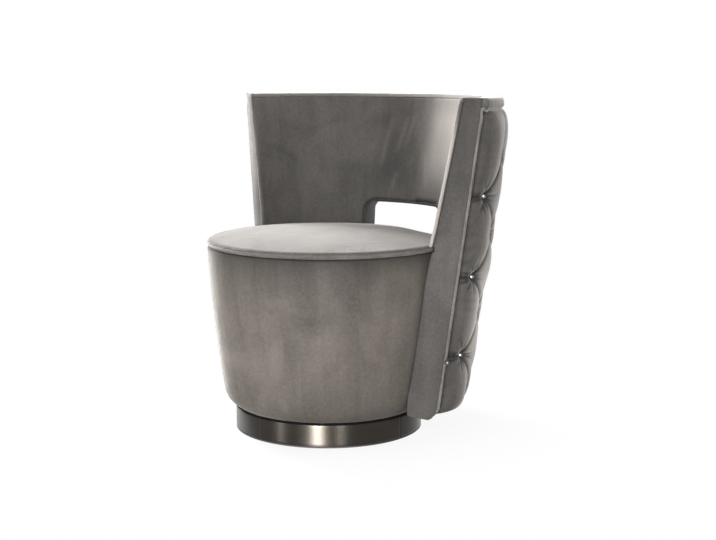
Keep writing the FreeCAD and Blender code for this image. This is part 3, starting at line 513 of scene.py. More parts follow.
def rounded_path(points, steps=6):
    """Smooth line through the points (Catmull-Rom)."""
    points = np.array(points)
    padded = np.concatenate([[2 * points[0] - points[1]], points,
                             [2 * points[-1] - points[-2]]])
    share = np.linspace(0, 1, steps, endpoint=False)[:, None]
    parts = []
    for a, b, c, d in zip(padded, padded[1:], padded[2:], padded[3:]):
        parts.append(0.5 * (2 * b + (c - a) * share + (2 * a - 5 * b + 4 * c - d) * share ** 2
                            + (3 * b - a - 3 * c + d) * share ** 3))
    return np.concatenate(parts + [points[-1:]])


def grid_quads(index, closed=True):
    """Faces of a grid of point numbers whose columns close; its rows close too unless told."""
    below = np.roll(index, -1, 0)
    faces = np.stack([index, below, np.roll(below, -1, 1), np.roll(index, -1, 1)], -1)
    return (faces if closed else faces[:-1]).reshape(-1, 4)


def turned(outline, count, wobble):
    """Points and faces of a closed outline of radius and height, turned about Z."""
    angle = np.linspace(0, ROUND, count, endpoint=False)
    points = wobble(polar(outline[None, :, 0], angle[:, None], outline[None, :, 1]))
    index = np.arange(count * len(outline)).reshape(count, -1)
    return points.reshape(-1, 3), [grid_quads(index.T)]


def slab(front, back, keep=None, valleys=False):
    """Closed solid between two grids of points; dropped cells are open right through."""
    rows, columns, wide = front.shape
    if keep is None:
        keep = np.ones((rows - 1, columns - 1), bool)
    index = np.arange(rows * columns).reshape(rows, columns)
    cells = np.stack([index[:-1, :-1], index[1:, :-1], index[1:, 1:], index[:-1, 1:]], -1)[keep]
    edges = np.concatenate([cells[:, [k, (k + 1) % 4]] for k in range(4)])
    ordered = np.sort(edges, 1)
    key = ordered[:, 0] * index.size + ordered[:, 1]
    _, place, times = np.unique(key, return_inverse=True, return_counts=True)
    first, last = edges[times[place] == 1].T
    wall = np.stack([last, first, first + index.size, last + index.size], 1)
    points = np.concatenate([front.reshape(-1, wide), back.reshape(-1, wide)])
    skin = [cells]
    if valleys:
        height = np.hypot(points[:, 0], points[:, 1])[cells]
        low = (height[:, 0] + height[:, 2] < height[:, 1] + height[:, 3])[:, None]
        skin = [np.where(low, cells[:, [0, 1, 2]], cells[:, [0, 1, 3]]),
                np.where(low, cells[:, [0, 2, 3]], cells[:, [1, 2, 3]])]
    faces = skin + [cells[:, ::-1] + index.size, wall]
    used = np.unique(np.concatenate([f.ravel() for f in faces]))
    renumber = np.zeros(len(points), int)
    renumber[used] = np.arange(len(used))
    return points[used], [renumber[f] for f in faces]


# ---------------------------------------------------------------- objects

def added(name, data):
    """New object in the scene."""
    made = bpy.data.objects.new(name, data)
    bpy.context.scene.collection.objects.link(made)
    return made


def bare(name, points, edges=(), faces=()):
    """New object from plain lists of points, edges and faces."""
    mesh = bpy.data.meshes.new(name)
    mesh.from_pydata(np.array(points).tolist(), list(edges), list(faces))
    return added(name, mesh)


def piece(name, points, faces, material, smooth=True):
    """Mesh object whose faces point outwards."""
    volume = 0.0
    for group in faces:
        for k in range(1, group.shape[1] - 1):
            a, b, c = points[group[:, 0]], points[group[:, k]], points[group[:, k + 1]]
            volume += np.einsum("ij,ij->i", a, np.cross(b, c)).sum()
    order = slice(None) if volume > 0 else slice(None, None, -1)
    made = bare(name, points, (), [face for group in faces for face in group[:, order].tolist()])
    made.data.polygons.foreach_set("use_smooth", [smooth] * len(made.data.polygons))
    made.data.update()
    made.data.materials.append(material)
    return made


def mark(made, name, values, kind="FLOAT"):
    """Keeps one value a point.  For the velvet, fold 0 is full painted shade and nap 1 is full
    painted highlight.
    """
    field = "value" if kind == "FLOAT" else "vector"
    made.data.attributes.new(name, kind, "POINT").data.foreach_set(field, np.ravel(values))


def spots_of(mesh):
    spots = np.zeros(len(mesh.vertices) * 3)
    mesh.vertices.foreach_get("co", spots)
    return spots.reshape(-1, 3)


def dress(made, body, nodes=()):
    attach(made, body)
    if nodes:
        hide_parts(*nodes)


def frozen(made):
    """Turns an object with modifiers into a plain mesh."""
    bpy.context.view_layer.update()
    depsgraph = bpy.context.evaluated_depsgraph_get()
    mesh = bpy.data.meshes.new_from_object(made.evaluated_get(depsgraph), depsgraph=depsgraph)
    made.modifiers.clear()
    old = made.data
    made.data = mesh
    bpy.data.meshes.remove(old)
    mesh.name = made.name
    return made


# ---------------------------------------------------------------- node trees for what repeats

class GeometryTree(NodeTree):
    """A geometry tree with named inputs; their identifiers are kept for the modifier."""

    def __init__(self, name, **inputs):
        super().__init__(bpy.data.node_groups.new(name, "GeometryNodeTree"))
        face = self.tree.interface
        face.new_socket("Geometry", in_out="INPUT", socket_type="NodeSocketGeometry")
        self.names = {}
        for key, kind in inputs.items():
            label = key.replace("_", " ")
            made = face.new_socket(label, in_out="INPUT", socket_type="NodeSocket" + kind)
            self.names[label] = made.identifier
        face.new_socket("Geometry", in_out="OUTPUT", socket_type="NodeSocketGeometry")
        entry = self.tree.nodes.new("NodeGroupInput")
        self.given = {socket.name: Wire(self, socket) for socket in entry.outputs if socket.name}

    def kept(self, name, kind):
        """Value that the line or the points keep for each point."""
        return self.node("GeometryNodeInputNamedAttribute", {"data_type": kind}, {"Name": name})

    def finish(self, geometry):
        """Ends the tree in plain geometry with its material."""
        real = self.node("GeometryNodeRealizeInstances", {}, {"Geometry": geometry})
        painted = self.node("GeometryNodeSetMaterial", {}, {
            "Geometry": real, "Material": self.given["Finish"]})
        self.node("NodeGroupOutput", {}, {"Geometry": painted})

    def grow(self, made, values):
        """Runs the tree on an object and keeps the result as its mesh."""
        modifier = made.modifiers.new("nodes", "NODES")
        modifier.node_group = self.tree
        for label, value in values.items():
            modifier[self.names[label]] = value
        return frozen(made)


def piping_tree(step=0.0025, sides=14):
    """Piping that follows a line; where the line is slack it is drawn up in small gathers."""
    tree = GeometryTree("piping", Cord_radius="Float", Gather="Float", Gather_length="Float",
                        Seed="Float", Finish="Material")
    given = tree.given
    line = tree.node("GeometryNodeMeshToCurve", {}, {"Mesh": given["Geometry"]})
    line = tree.node("GeometryNodeResampleCurve", {"mode": "LENGTH"},
                     {"Curve": line, "Length": step})
    ripple = tree.node("ShaderNodeTexNoise", {"noise_dimensions": "4D"}, {
        "Vector": tree.node("GeometryNodeInputPosition"), "W": given["Seed"],
        "Scale": 1.0 / given["Gather length"], "Detail": 1.0}, "Color")
    centred = tree.node("ShaderNodeVectorMath", {"operation": "SUBTRACT"}, {
        0: ripple, 1: (0.5, 0.5, 0.5)})
    push = tree.node("ShaderNodeVectorMath", {"operation": "SCALE"}, {
        0: centred, "Scale": given["Gather"] * tree.kept("slack", "FLOAT")})
    line = tree.node("GeometryNodeSetPosition", {}, {"Geometry": line, "Offset": push})
    ring = tree.node("GeometryNodeCurvePrimitiveCircle", {"mode": "RADIUS"}, {
        "Resolution": sides, "Radius": given["Cord radius"]})
    tube = tree.node("GeometryNodeCurveToMesh", {}, {
        "Curve": line, "Profile Curve": ring, "Fill Caps": True})
    tree.finish(tree.node("GeometryNodeSetShadeSmooth", {}, {"Geometry": tube}))
    return tree


def scatter_tree(most_spin=0.6):
    """Copies of one small part on points, each turned to its own direction."""
    tree = GeometryTree("scatter", Part="Object", Size="Float", Seed="Int", Finish="Material")
    given = tree.given
    part = tree.node("GeometryNodeObjectInfo", {}, {"Object": given["Part"]}, "Geometry")
    spin = tree.node("FunctionNodeRandomValue", {"data_type": "FLOAT"}, {
        2: 0.0, 3: most_spin, "Seed": given["Seed"]}, 1)
    spun = tree.node("FunctionNodeAxisAngleToRotation", {}, {"Axis": (0, 0, 1), "Angle": spin})
    aimed = tree.node("FunctionNodeAlignRotationToVector", {"axis": "Z"}, {
        "Rotation": spun, "Vector": tree.kept("aim", "FLOAT_VECTOR")})
    tree.finish(tree.node("GeometryNodeInstanceOnPoints", {}, {
        "Points": given["Geometry"], "Instance": part, "Rotation": aimed,
        "Scale": given["Size"]}))
    return tree


def line_object(name, points, slack, loop=False):
    """Bare line of points for the piping tree."""
    count = len(points)
    made = bare(name, points, [(k, (k + 1) % count) for k in range(count if loop else count - 1)])
    mark(made, "slack", slack)
    return made


def scattered(name, points, aims, part, material, seed, size=1.0):
    """Small parts at points, each aimed along its own direction, as one plain mesh."""
    made = bare(name, points)
    mark(made, "aim", aims, "FLOAT_VECTOR")
    return scatter_tree().grow(made, {"Part": part, "Size": size, "Seed": seed,
                                      "Finish": material})


# ---------------------------------------------------------------- the pieces

class PieceOperator:
    bl_options = {"REGISTER", "UNDO"}

    def execute(self, context):
        sizes = context.scene.chair_sizes
        self.build(sizes, Shell(sizes))
        return {"FINISHED"}


def drum_side(s):
    """Outside of the drum from under the piping to the hem, as radius and height."""
    top = s.seat_height - s.welt_radius - FIT
    shoulder = (s.drum_shoulder_radius, s.drum_shoulder_height)
    side = arc((s.seat_radius, top), shoulder, s.drum_side_round, 60)
    foot = arc(shoulder, (s.drum_foot_radius, s.hem_low), s.drum_foot_round, 18)
    return np.concatenate([side[:-1], foot])


def drawn_down(angle, most=0.016, wide=0.6):
    """How far the edge of the seat is drawn down in front of the opening."""
    return most * np.exp(-(angle / wide) ** 4)


class CHAIR_OT_drum(PieceOperator, bpy.types.Operator):
    """Velvet skirt of the drum, padded over its wall"""
    bl_idname = "chair.drum"
    bl_label = "Drum skirt"
    columns = 420
    puckers = 168               # gathers round the top edge
    slack_from = 0.33           # above here the skirt follows the drawn-down edge

    def build(self, s, shell):
        outer = drum_side(s)
        top, hem = outer[0, 1], s.hem_low
        drop = top - outer[:, 1]
        outer[:, 0] -= 0.0018 * (1 - quarter(drop / 0.005))
        foot, ledge = s.drum_foot_radius, s.seat_radius - 0.0068
        inner = np.array([
            (foot - 0.012, hem - 0.0002), (foot - 0.026, hem), (foot - 0.026, hem + 0.0018),
            (foot - 0.0037, hem + 0.0041), (foot - 0.0037, hem + 0.0203),
            (s.seat_radius - 0.0147, 0.392), (ledge, 0.3925), (ledge, top - 0.004)])
        skin = np.zeros(len(outer) + len(inner))
        skin[:len(outer)] = quarter(drop / 0.02) * quarter((outer[:, 1] - hem) / 0.03)

        def soften(points):
            z = points[..., 2]
            angle, radius = unrolled(points)
            slow = flow(points, 5.0, 1) * 0.0011 + flow(points, 13.0, 2) * 0.0004
            pucker = np.cos(angle * self.puckers + 5 * flow(points, 6.0, 3))
            pucker *= np.exp(-((top - z) / 0.016)) * (0.6 + flow(points, 9.0, 4))
            pull = skin * slow + np.where(skin > 0, 0.00045 * pucker, 0)
            low_edge = ease((z - self.slack_from) / (top - self.slack_from))
            return polar(radius + pull, angle, z - drawn_down(angle) * low_edge)

        points, faces = turned(np.concatenate([outer, inner]), self.columns, soften)
        # painted light: the drum's copy of the velvet is made a little lighter
        made = piece("drum_skirt", points, faces,
                     velvet(1.10, "up", "velvet_drum", 0.45, True, 0.06))
        z = points[:, 2]
        angle, reach = unrolled(points)
        reach = np.maximum(reach, 0.15)
        past_arm = (np.abs(angle) - shell.arm_angle(reach, -shell.twist(z))) * reach
        # painted shade: darker under the piping, towards the hem, and where the drum meets the arm
        # fronts
        fold = shaded(top - z, 0.76, 0.05) + shaded(z - hem, 0.50, 0.06) - 1
        mark(made, "fold", fold * shaded(past_arm, 0.35, 0.035))
        dress(made, "seat", ("drum_cover", "drum_foam"))


class CHAIR_OT_seat(PieceOperator, bpy.types.Operator):
    """Crowned seat cushion, blown up as cloth inside its piping"""
    bl_idname = "chair.seat"
    bl_label = "Seat cushion"
    columns = 120
    edge = 0.0055               # radius of the lip over the piping
    frames = 20                 # length of the cloth run
    most_swell = 0.022          # farthest that the cloth may move
    gathers = 150               # fine pulls round the rim

    def build(self, s, shell):
        edge, low = self.edge, CUSHION_LOW
        rim, ledge = s.seat_radius - 0.0006, s.seat_height + 0.0035
        share = np.linspace(0, 1, 40)[:-1]
        crown = (s.seat_crown - edge - 0.011) * (1 - share ** 3.4)
        dome = np.stack([(rim - edge) * share, ledge + edge + crown], 1)
        bend = np.linspace(0, math.pi * 0.62, 9)
        lip = np.stack([rim - edge + edge * np.sin(bend), ledge + edge * np.cos(bend)], 1)
        wall = np.array([(rim - 0.008, s.seat_height - 0.006), (rim - 0.010, low + 0.004),
                         (rim - 0.014, low)])
        floor = np.stack([np.linspace(rim - 0.03, 0, 14), np.full(14, low)], 1)
        outline = np.concatenate([dome, lip, wall, floor])
        angle = np.linspace(0, ROUND, self.columns, endpoint=False)
        rings = polar(outline[1:-1, None, 0], angle, outline[1:-1, None, 1]).reshape(-1, 3)
        points = np.concatenate([rings, [(0, 0, outline[0, 1]), (0, 0, outline[-1, 1])]])
        index = np.arange(len(rings)).reshape(-1, self.columns)
        ahead = np.roll(index, -1, 1)
        middle = np.full(self.columns, len(rings))
        faces = [grid_quads(index, False), np.stack([index[0], ahead[0], middle], 1),
                 np.stack([ahead[-1], index[-1], middle + 1], 1)]
        # painted highlight: the seat's copy of the velvet is made lighter
        made = piece("seat_cushion", points, faces, velvet(1.20, "over", "velvet_seat", 0.62, True))
        remesh = made.modifiers.new("voxels", "REMESH")
        remesh.mode = "VOXEL"
        remesh.voxel_size = 0.0055
        frozen(made)
        self.inflate(made, s)
        smooth = made.modifiers.new("round", "SUBSURF")
        smooth.levels = smooth.render_levels = 1
        frozen(made)
        self.gather(made, s, rim)
        dress(made, "seat", ("seat_cover", "seat_foam"))

    def inflate(self, made, s):
        """Cloth with air inside; the sides stay where the drum holds them."""
        scene = bpy.context.scene
        start = spots_of(made.data)
        reach = np.hypot(start[:, 0], start[:, 1])
        free = np.clip((s.seat_radius - 0.014 - reach) / 0.05, 0, 1)
        free *= start[:, 2] > s.seat_height
        held = made.vertex_groups.new(name="held")
        held.add(np.nonzero(free < 0.02)[0].tolist(), 1.0, "REPLACE")
        cloth = made.modifiers.new("cloth", "CLOTH")
        for key, value in {"quality": 5, "mass": 0.25, "tension_stiffness": 18,
                           "compression_stiffness": 18, "bending_stiffness": 1.2,
                           "use_pressure": True, "uniform_pressure_force": 4.0,
                           "vertex_group_mass": "held"}.items():
            setattr(cloth.settings, key, value)
        cloth.settings.effector_weights.gravity = 0.0
        cloth.collision_settings.use_collision = False
        for number in range(1, self.frames + 1):
            scene.frame_set(number)
        swollen = made.evaluated_get(bpy.context.evaluated_depsgraph_get()).to_mesh()
        move = spots_of(swollen) - start
        far = np.linalg.norm(move, axis=1)
        move *= np.minimum(1, self.most_swell / np.maximum(far, 1e-9))[:, None]
        wanted = s.seat_height + s.seat_crown - start[:, 2].max()
        most = np.where(free > 0, move[:, 2], 0).max()
        gain = wanted / most if most > 1e-5 else 1.0
        made.modifiers.clear()
        made.data.vertices.foreach_set("co", (start + move * min(1.6, max(0.2, gain))).ravel())
        made.vertex_groups.clear()
        scene.frame_set(1)

    def gather(self, made, s, rim):
        """Fine pulls where the top is sewn to the piping, its edge drawn down, and painted shade on
        the top.
        """
        spots = spots_of(made.data)
        angle, reach = unrolled(spots)
        upper = spots[:, 2] > s.seat_height
        near = np.exp(-np.maximum(rim - reach, 0) / 0.02) * upper
        wave = np.cos(angle * self.gathers + 6 * flow(spots, 7.0, 5))
        wave *= 0.5 + flow(spots, 10.0, 6)
        spots[:, 2] += near * wave * 0.0005 + upper * flow(spots, 6.5, 7) * 0.0010
        drop = drawn_down(angle) * ease((reach - rim + 0.08) / 0.08)
        spots[:, 2] -= drop * np.clip((spots[:, 2] - CUSHION_LOW) / (s.seat_height - CUSHION_LOW),
                                      0, 1)
        made.data.vertices.foreach_set("co", spots.ravel())
        made.data.polygons.foreach_set("use_smooth", [True] * len(made.data.polygons))
        made.data.update()
        # painted shade: darker towards the back of the seat, and a dark line in the hollow above
        # the lip over the piping
        above_lip = spots[:, 2] + drop - s.seat_height - 0.0075
        painted_crease_shade = bell(above_lip, 0.0024) * (reach > rim - 0.012)
        mark(made, "fold", (1 - 0.58 * ease((spots[:, 1] - 0.02) / 0.14)) * (1 - 0.55 * painted_crease_shade))


class CHAIR_OT_piping(PieceOperator, bpy.types.Operator):
    """Piping round the seat, up both arms and under the top band"""
    bl_idname = "chair.piping"
    bl_label = "Piping"
    ring_steps, band_steps, arm_steps = 720, 260, 44
    arm_slack = 0.08            # the cord lies tight along the arms

    def build(self, s, shell):
        tree = piping_tree()
        angle = np.linspace(0, ROUND, self.ring_steps, endpoint=False)
        edge = drawn_down(np.arctan2(np.sin(angle), np.cos(angle)))
        inset = polar(s.seat_radius - 0.0024, angle, s.seat_height - 0.0004 - edge)
        ring = line_object("seat_piping", inset, np.ones(self.ring_steps), True)
        # painted highlight: the seat piping's copy of the velvet is made lighter
        tree.grow(ring, {"Cord radius": s.welt_radius * 0.8, "Gather": 0.0012,
                         "Gather length": 0.05, "Seed": 3.0,
                         "Finish": velvet(1.2, "round", "velvet_seat_piping", 0.7)})
        dress(ring, "seat", ("seat_welt",))
        cord = line_object("back_piping", *self.outline(s, shell))
        # painted highlight: the back piping's copy of the velvet is made much lighter
        tree.grow(cord, {"Cord radius": s.arm_welt, "Gather": 0.0095, "Gather length": 0.016,
                         "Seed": 8.0, "Finish": velvet(1.7, "round", "velvet_piping")})
        dress(cord, "seat", ("arm_welt_left", "arm_welt_right"))

    def outline(self, s, shell):
        """Line up one arm, round under the top band and down the other arm, and its slack."""
        seam, depth, low = s.border_low - 0.0035, s.arm_welt, s.hem_low
        foot, top = shell.outside(low), shell.outside(seam)
        knots = [(foot - 0.014, depth + 0.003, low - 0.0035), (foot - 0.006, depth, low + 0.0035),
                 (shell.outside(0.071) - 0.0005, depth, 0.071)]
        knots += [(shell.outside(z), depth, z)
                  for z in np.linspace(0.085, seam - 0.030, self.arm_steps)]
        knots += [(top + out, depth + behind, seam + up) for out, behind, up in (
            (-0.0006, 0, -0.012), (-0.0012, 0, -0.001), (0.0008, -0.0006, 0.0065),
            (0.0055, 0.0015, 0.0072), (0.0072, 0.009, 0.0015), (0.0060, 0.022, 0))]
        right, left = (rounded_path(shell.on_arm(side, *np.array(knots).T)) for side in (-1, 1))
        radius = top + 0.0060
        end = shell.arm_angle(radius, depth + 0.030)
        middle = polar(radius, np.linspace(-end, end, self.band_steps), seam)
        line = np.concatenate([right, middle, left[::-1]])
        slack = np.full(len(line), self.arm_slack)
        first, last = len(right), len(right) + len(middle)
        slack[first:last] = 1
        for corner in (first, last):
            slack *= 0.1 + 0.9 * np.clip(np.abs(np.arange(len(line)) - corner) / 12, 0, 1)
        return line, slack


class CHAIR_OT_inner_back(PieceOperator, bpy.types.Operator):
    """Padded inside of the back, rolled over its top and its two front edges"""
    bl_idname = "chair.inner_back"
    bl_label = "Inside of the back"
    columns, bead_steps, bend_steps = 261, 12, 9
    roll = 0.0085               # radius of the rolled top
    # lighter strokes on the inside, added to its painted highlight: degrees and height where each
    # starts and ends
    strokes = ((-6.2, 0.704, -10.5, 0.616), (-2.2, 0.716, -6.8, 0.624),
               (-14.3, 0.700, -18.5, 0.576), (10.0, 0.532, 5.8, 0.624),
               (-11.5, 0.520, -9.5, 0.570))
    per_degree = 0.0054         # metres along the back
    # painted highlight across the bead, from its outside to the face of the pad
    bead_highlight = (0, 0, 0.3, 0.8, 1, 1, 1, 1, 1, 1, 1, 1, 0.7, 0.25)

    def build(self, s, shell):
        thick, roll = s.inner_bead, self.roll
        low = s.seat_height + s.welt_radius + 0.0012
        seam, base = s.chair_height - 0.0105, s.chair_height - roll
        bend = np.linspace(0, QUARTER, self.bend_steps)
        rise = np.concatenate([np.linspace(low, seam - 0.004, 84),
                               np.linspace(seam - 0.003, seam + 0.002, 9)])
        rise = rise[rise < base]
        heights = np.concatenate([rise, base + roll * np.sin(bend), [s.chair_height - 0.0006]])
        inset = np.concatenate([0 * rise, roll * (1 - np.cos(bend)), [thick - 0.0006]])
        sunk = 0.0016 * bell(heights - seam, 0.0016)
        face = shell.inside(heights) + inset + sunk
        half = (thick - inset - sunk) / 2
        proud = 0.003 * half / (thick / 2)
        forward = shell.twist(heights)
        around = np.linspace(0, math.pi, self.bead_steps + 1)[1:, None]
        bead_radius = face + half * (1 - np.cos(around))
        bead = shell.arm_angle(bead_radius, half - proud - half * np.sin(around) - forward)
        start = shell.arm_angle(face, half - proud - forward)
        behind = shell.panel(heights) - FIT
        back_bead = shell.arm_angle(behind, s.facing + 0.001 + 0.0006 * np.cos(around))
        back_start = shell.arm_angle(behind, s.facing + 0.0018)
        share = np.linspace(-1, 1, self.columns)[:, None]
        flat = s.opening_half + 0.12
        out = np.abs(share) * start
        drawn_in = flat + (out - flat) * (back_start - flat) / (start - flat)
        drawn_in = np.sign(share) * np.where(out < flat, out, drawn_in)
        angle = np.concatenate([-bead[::-1], share * start, bead])
        radius = np.concatenate([bead_radius[::-1], face + 0 * share, bead_radius])
        back_angle = np.concatenate([-back_bead[::-1], drawn_in, back_bead])
        grow = s.lining + FIT
        head = s.opening_head + grow
        heights[np.argmin(np.abs(heights - head))] = head
        angle, z, keep = cut_opening(shell, angle, heights + 0 * angle, grow)
        back_angle = np.where(np.abs(angle) < flat, angle, back_angle)
        gap = shell.opening(angle, z, grow)
        radius = radius + 0.0045 * (1 - quarter(gap / 0.008))
        spots = polar(radius, angle, z)
        wave = flow(spots, 5.5, 11) * 0.0012 + flow(spots, 14.0, 12) * 0.0004
        calm = np.zeros(len(angle))
        calm[self.bead_steps:-self.bead_steps] = quarter((1 - np.abs(share[:, 0])) / 0.04)
        calm = quarter((s.chair_height - z) / 0.03) * quarter(gap / 0.03) * calm[:, None]
        front = polar(radius + wave * calm, angle, z)
        back = polar(behind, back_angle, z)
        nap, fold = self.marks(s, np.degrees(angle), z, gap, seam)
        points, faces = slab(np.dstack([front, nap, fold]), np.dstack([back, 0 * nap, fold]), keep)
        # painted shade: the inside's copy of the velvet is made darker, and its marks paint
        # highlight and shade on it
        made = piece("inner_back_pad", points[:, :3], faces,
                     velvet(0.62, "up", "velvet_inside", 1.0, True))
        mark(made, "nap", points[:, 3])
        mark(made, "fold", points[:, 4])
        dress(made, "seat", ("inner_pad",))

    def marks(self, s, at, z, gap, seam):
        """Painted highlight and painted shade; at is in degrees from the middle of the back."""
        # painted highlight on the beads: strong on the sitter's left arm, faint on the right,
        # fading towards the top
        bead = np.array(self.bead_highlight)
        bead = np.concatenate([bead * 0.15, np.zeros(len(at) - 2 * len(bead)), bead[::-1]])
        bead = bead[:, None] * (1 - 0.88 * ease((z - 0.64) / 0.10))
        # painted highlight: a pale patch on the inside of the back, to the sitter's left of its
        # middle, with lighter strokes added
        highlight_patch = 0.47 * ease((at + 1) / 16) * (1 - ease((at - 40) / 30)) * ease((z - 0.485) / 0.13)
        for stroke in self.strokes:
            highlight_patch += 0.07 * self.stroke(at, z, *stroke)
        highlight_patch *= 1 - 0.4 * ease((z - 0.69) / 0.05)
        # painted highlight along the rolled top, stronger towards the sitter's left
        top_roll_highlight = (0.08 + 0.15 * ease((at + 45) / 40)) * (z > seam + 0.0015)
        nap = np.maximum(np.maximum(bead, highlight_patch), top_roll_highlight)
        # painted shade: a dark band along the head of the opening on the sitter's left half, and a
        # darker upright band above it to the sitter's right of the middle
        head = ease((at - 3) / 2) * ease((24.0 - at) / 2) * (z > s.opening_head - 0.002)
        fold = 1 - head * ease(1.25 - gap / 0.013)
        return nap, fold * (1 - 0.34 * bell(at + 13, 9) * ease((z - 0.50) / 0.06))

    def stroke(self, at, z, start_at, start_z, end_at, end_z):
        """1 along a lighter stroke added to the painted highlight, 0 a little way beside it."""
        run = np.array([(end_at - start_at) * self.per_degree, end_z - start_z])
        across, up = (at - start_at) * self.per_degree, z - start_z
        along = np.clip((across * run[0] + up * run[1]) / (run @ run), 0, 1)
        away = np.hypot(across - along * run[0], up - along * run[1])
        return bell(away, 0.0065) * np.sin(math.pi * along) ** 0.5


def button_places(s):
    """Angle and height of every button; none stands in the opening or close to it."""
    margin = s.lining * 5 + FIT
    places = []
    for column in range(-s.side_columns, s.side_columns + 1):
        for row in range(BUTTON_ROWS + 1):
            angle = column * s.column_angle
            height = s.first_row + row * (s.row_pitch / 2)
            inside = (abs(angle) < s.opening_half
                      and s.opening_sill - margin < height < s.opening_head + margin)
            if (s.side_columns - column + row) % 2 and not inside:
                places.append((angle, height))
    return places


def near_buttons(s, shell, angle, z, limit):
    """For each button, the points within a limit and how far across and up they lie."""
    for turn_at, height in button_places(s):
        across, up = (angle - turn_at) * shell.outside(height), z - height
        near = np.hypot(across, up) < limit
        yield near, across[near], up[near]


class CHAIR_OT_tufted_back(PieceOperator, bpy.types.Operator):
    """Deep-buttoned outside of the back: pillows, pleats and the pulls at each button"""
    bl_idname = "chair.tufted_back"
    bl_label = "Tufted back"
    divisions = 22              # steps from one button column or row to the next
    side_steps = 16             # steps from the last column to the arm, and below the first row
    # directions of the short folds that run out from a button
    bearings = (-22, 0, 21, 68, 90, 113, 158, 180, 201, 247, 270, 292)
    fold_seed = 21

    def build(self, s, shell):
        n, side, last = self.divisions, self.side_steps, float(s.side_columns)
        top = s.border_low - FIT
        last_row = s.first_row + s.row_pitch * 3
        hem = s.hem_low - 0.0012
        bend = np.linspace(0, QUARTER, side + 1)
        step = np.arange(n) / n
        step = 0.4 * step + 0.3 * (1 - np.cos(math.pi * step))
        rows = np.append((np.arange(BUTTON_ROWS)[:, None] + step).ravel(), BUTTON_ROWS)
        heights = np.concatenate([
            hem + (s.first_row - s.hem_low + 0.0012) * (1 - np.cos(bend[:-1])),
            s.first_row + s.row_pitch / 2 * rows,
            last_row + (top - last_row) * np.sin(np.linspace(0, QUARTER, 27)[1:])])
        spread = np.append((np.arange(-s.side_columns, s.side_columns)[:, None] + step).ravel(),
                           last)
        grow = s.lining + FIT
        for target in (s.opening_head + grow, s.opening_sill - grow):
            heights[np.argmin(np.abs(heights - target))] = target
        flank = np.sin(bend[1:])
        column = np.concatenate([np.full(side, -last), spread, np.full(side, last)])
        outer = np.concatenate([-flank[::-1], 0 * spread, flank])[:, None]
        angle = (column * s.column_angle)[:, None] + 0 * heights[None, :]
        edge = s.opening_half + grow / s.inner_low_radius
        for sign in (-1, 1):
            angle[np.argmin(np.abs(angle[:, 0] - sign * edge))] = sign * edge
        z = np.broadcast_to(heights[None, :], angle.shape)
        reach = s.side_columns * s.column_angle

        def fanned(end):
            """Spreads the columns beyond the last buttons as far as the arm."""
            beyond = np.sign(outer) * (reach + np.abs(outer) * (end - reach))
            return np.where(outer != 0, beyond, angle)

        for _ in range(3):
            rise = self.rise(s, shell, angle, z, outer, top)
            angle = fanned(shell.arm_angle(shell.backing(z) + rise, 2 * s.arm_welt - 0.0006))
        angle, z, keep = cut_opening(shell, angle, z, grow)
        front = polar(shell.backing(z) + self.rise(s, shell, angle, z, outer, top), angle, z)
        base = shell.backing(z) + 0.0012
        back = polar(base, fanned(shell.arm_angle(base, s.facing + FIT)),
                     np.maximum(z, s.hem_low + 0.0012))
        points, faces = slab(front, back, keep, valleys=True)
        # painted shade: the tufted pad's copy of the velvet is made darker
        made = piece("tufted_back_pad", points, faces,
                     velvet(0.84, "up", "velvet_tufted", 1.0, True))
        self.shade(made, s, shell, top)
        dress(made, "seat", ("tufted_back",))

    def shade(self, made, s, shell, top):
        """Painted shade along every pleat, in the short creases and the gathers, beside the arms
        and under the top seam, and painted highlight low on the flanks.
        """
        spots = spots_of(made.data)
        at, z = np.arctan2(spots[:, 0], spots[:, 1]), spots[:, 2]
        flank = ease((np.abs(at) - 0.75) / 0.3)
        wide = 0.0050 + flank * (0.0035 + 0.0035 * ease((z - 0.60) / 0.06))
        beside = (shell.arm_angle(shell.backing(z), s.facing) - np.abs(at)) * s.outer_low_radius
        gathers = 0.45 * np.maximum(self.pucker(spots), 0)
        # painted shade: dark in the pleats and the short creases, beside the arm and in the gathers
        # along it, and under the top seam
        fold = np.clip(self.from_pleat(s, at, z) / wide - 0.12, 0, 1)
        fold *= 1 - (0.60 + 0.25 * flank) * ease(self.creases(s, shell, at, z) / 0.0030)
        fold *= shaded(beside, 0.30, 0.030) * shaded(beside, gathers, 0.020)
        mark(made, "fold", fold * shaded(top - z, 0.9, 0.0055))
        # painted highlight low on the flanks, fading out at the arms
        mark(made, "nap", 0.42 * flank * bell(z - 0.27, 0.13) * ease(beside / 0.05) * fold)

    def pucker(self, spots):
        """Small gathers along the arm piping: 1 in a valley, -1 on a ridge."""
        z = spots[..., 2]
        uneven = np.clip(0.3 + 2.2 * flow(spots, 14.0, 26), 0, 1)
        uneven *= 0.25 + 0.75 * ease((0.47 - z) / 0.08)
        return np.cos(z * 290 + 9 * flow(spots, 9.0, 25)) * uneven

    def lattice(self, s, angle, z):
        """Column from the arm and row from the foot; a button stands where just one is odd."""
        column = np.clip(angle / s.column_angle, -s.side_columns, s.side_columns) - s.side_columns
        return column, np.clip((z - s.first_row) / (s.row_pitch / 2), 0, BUTTON_ROWS)

    def from_pleat(self, s, angle, z):
        """Distance to the nearest pleat, across the pad."""
        column, row = self.lattice(s, angle, z)
        near = np.minimum(np.abs((column + row) % 2 - 1), np.abs((column - row) % 2 - 1))
        straight = ((np.abs(angle) > s.side_columns * s.column_angle) | (z < s.first_row)
                    | (row >= BUTTON_ROWS))
        return near * s.row_pitch / 2 * np.where(straight, 1.0, math.sqrt(0.5))

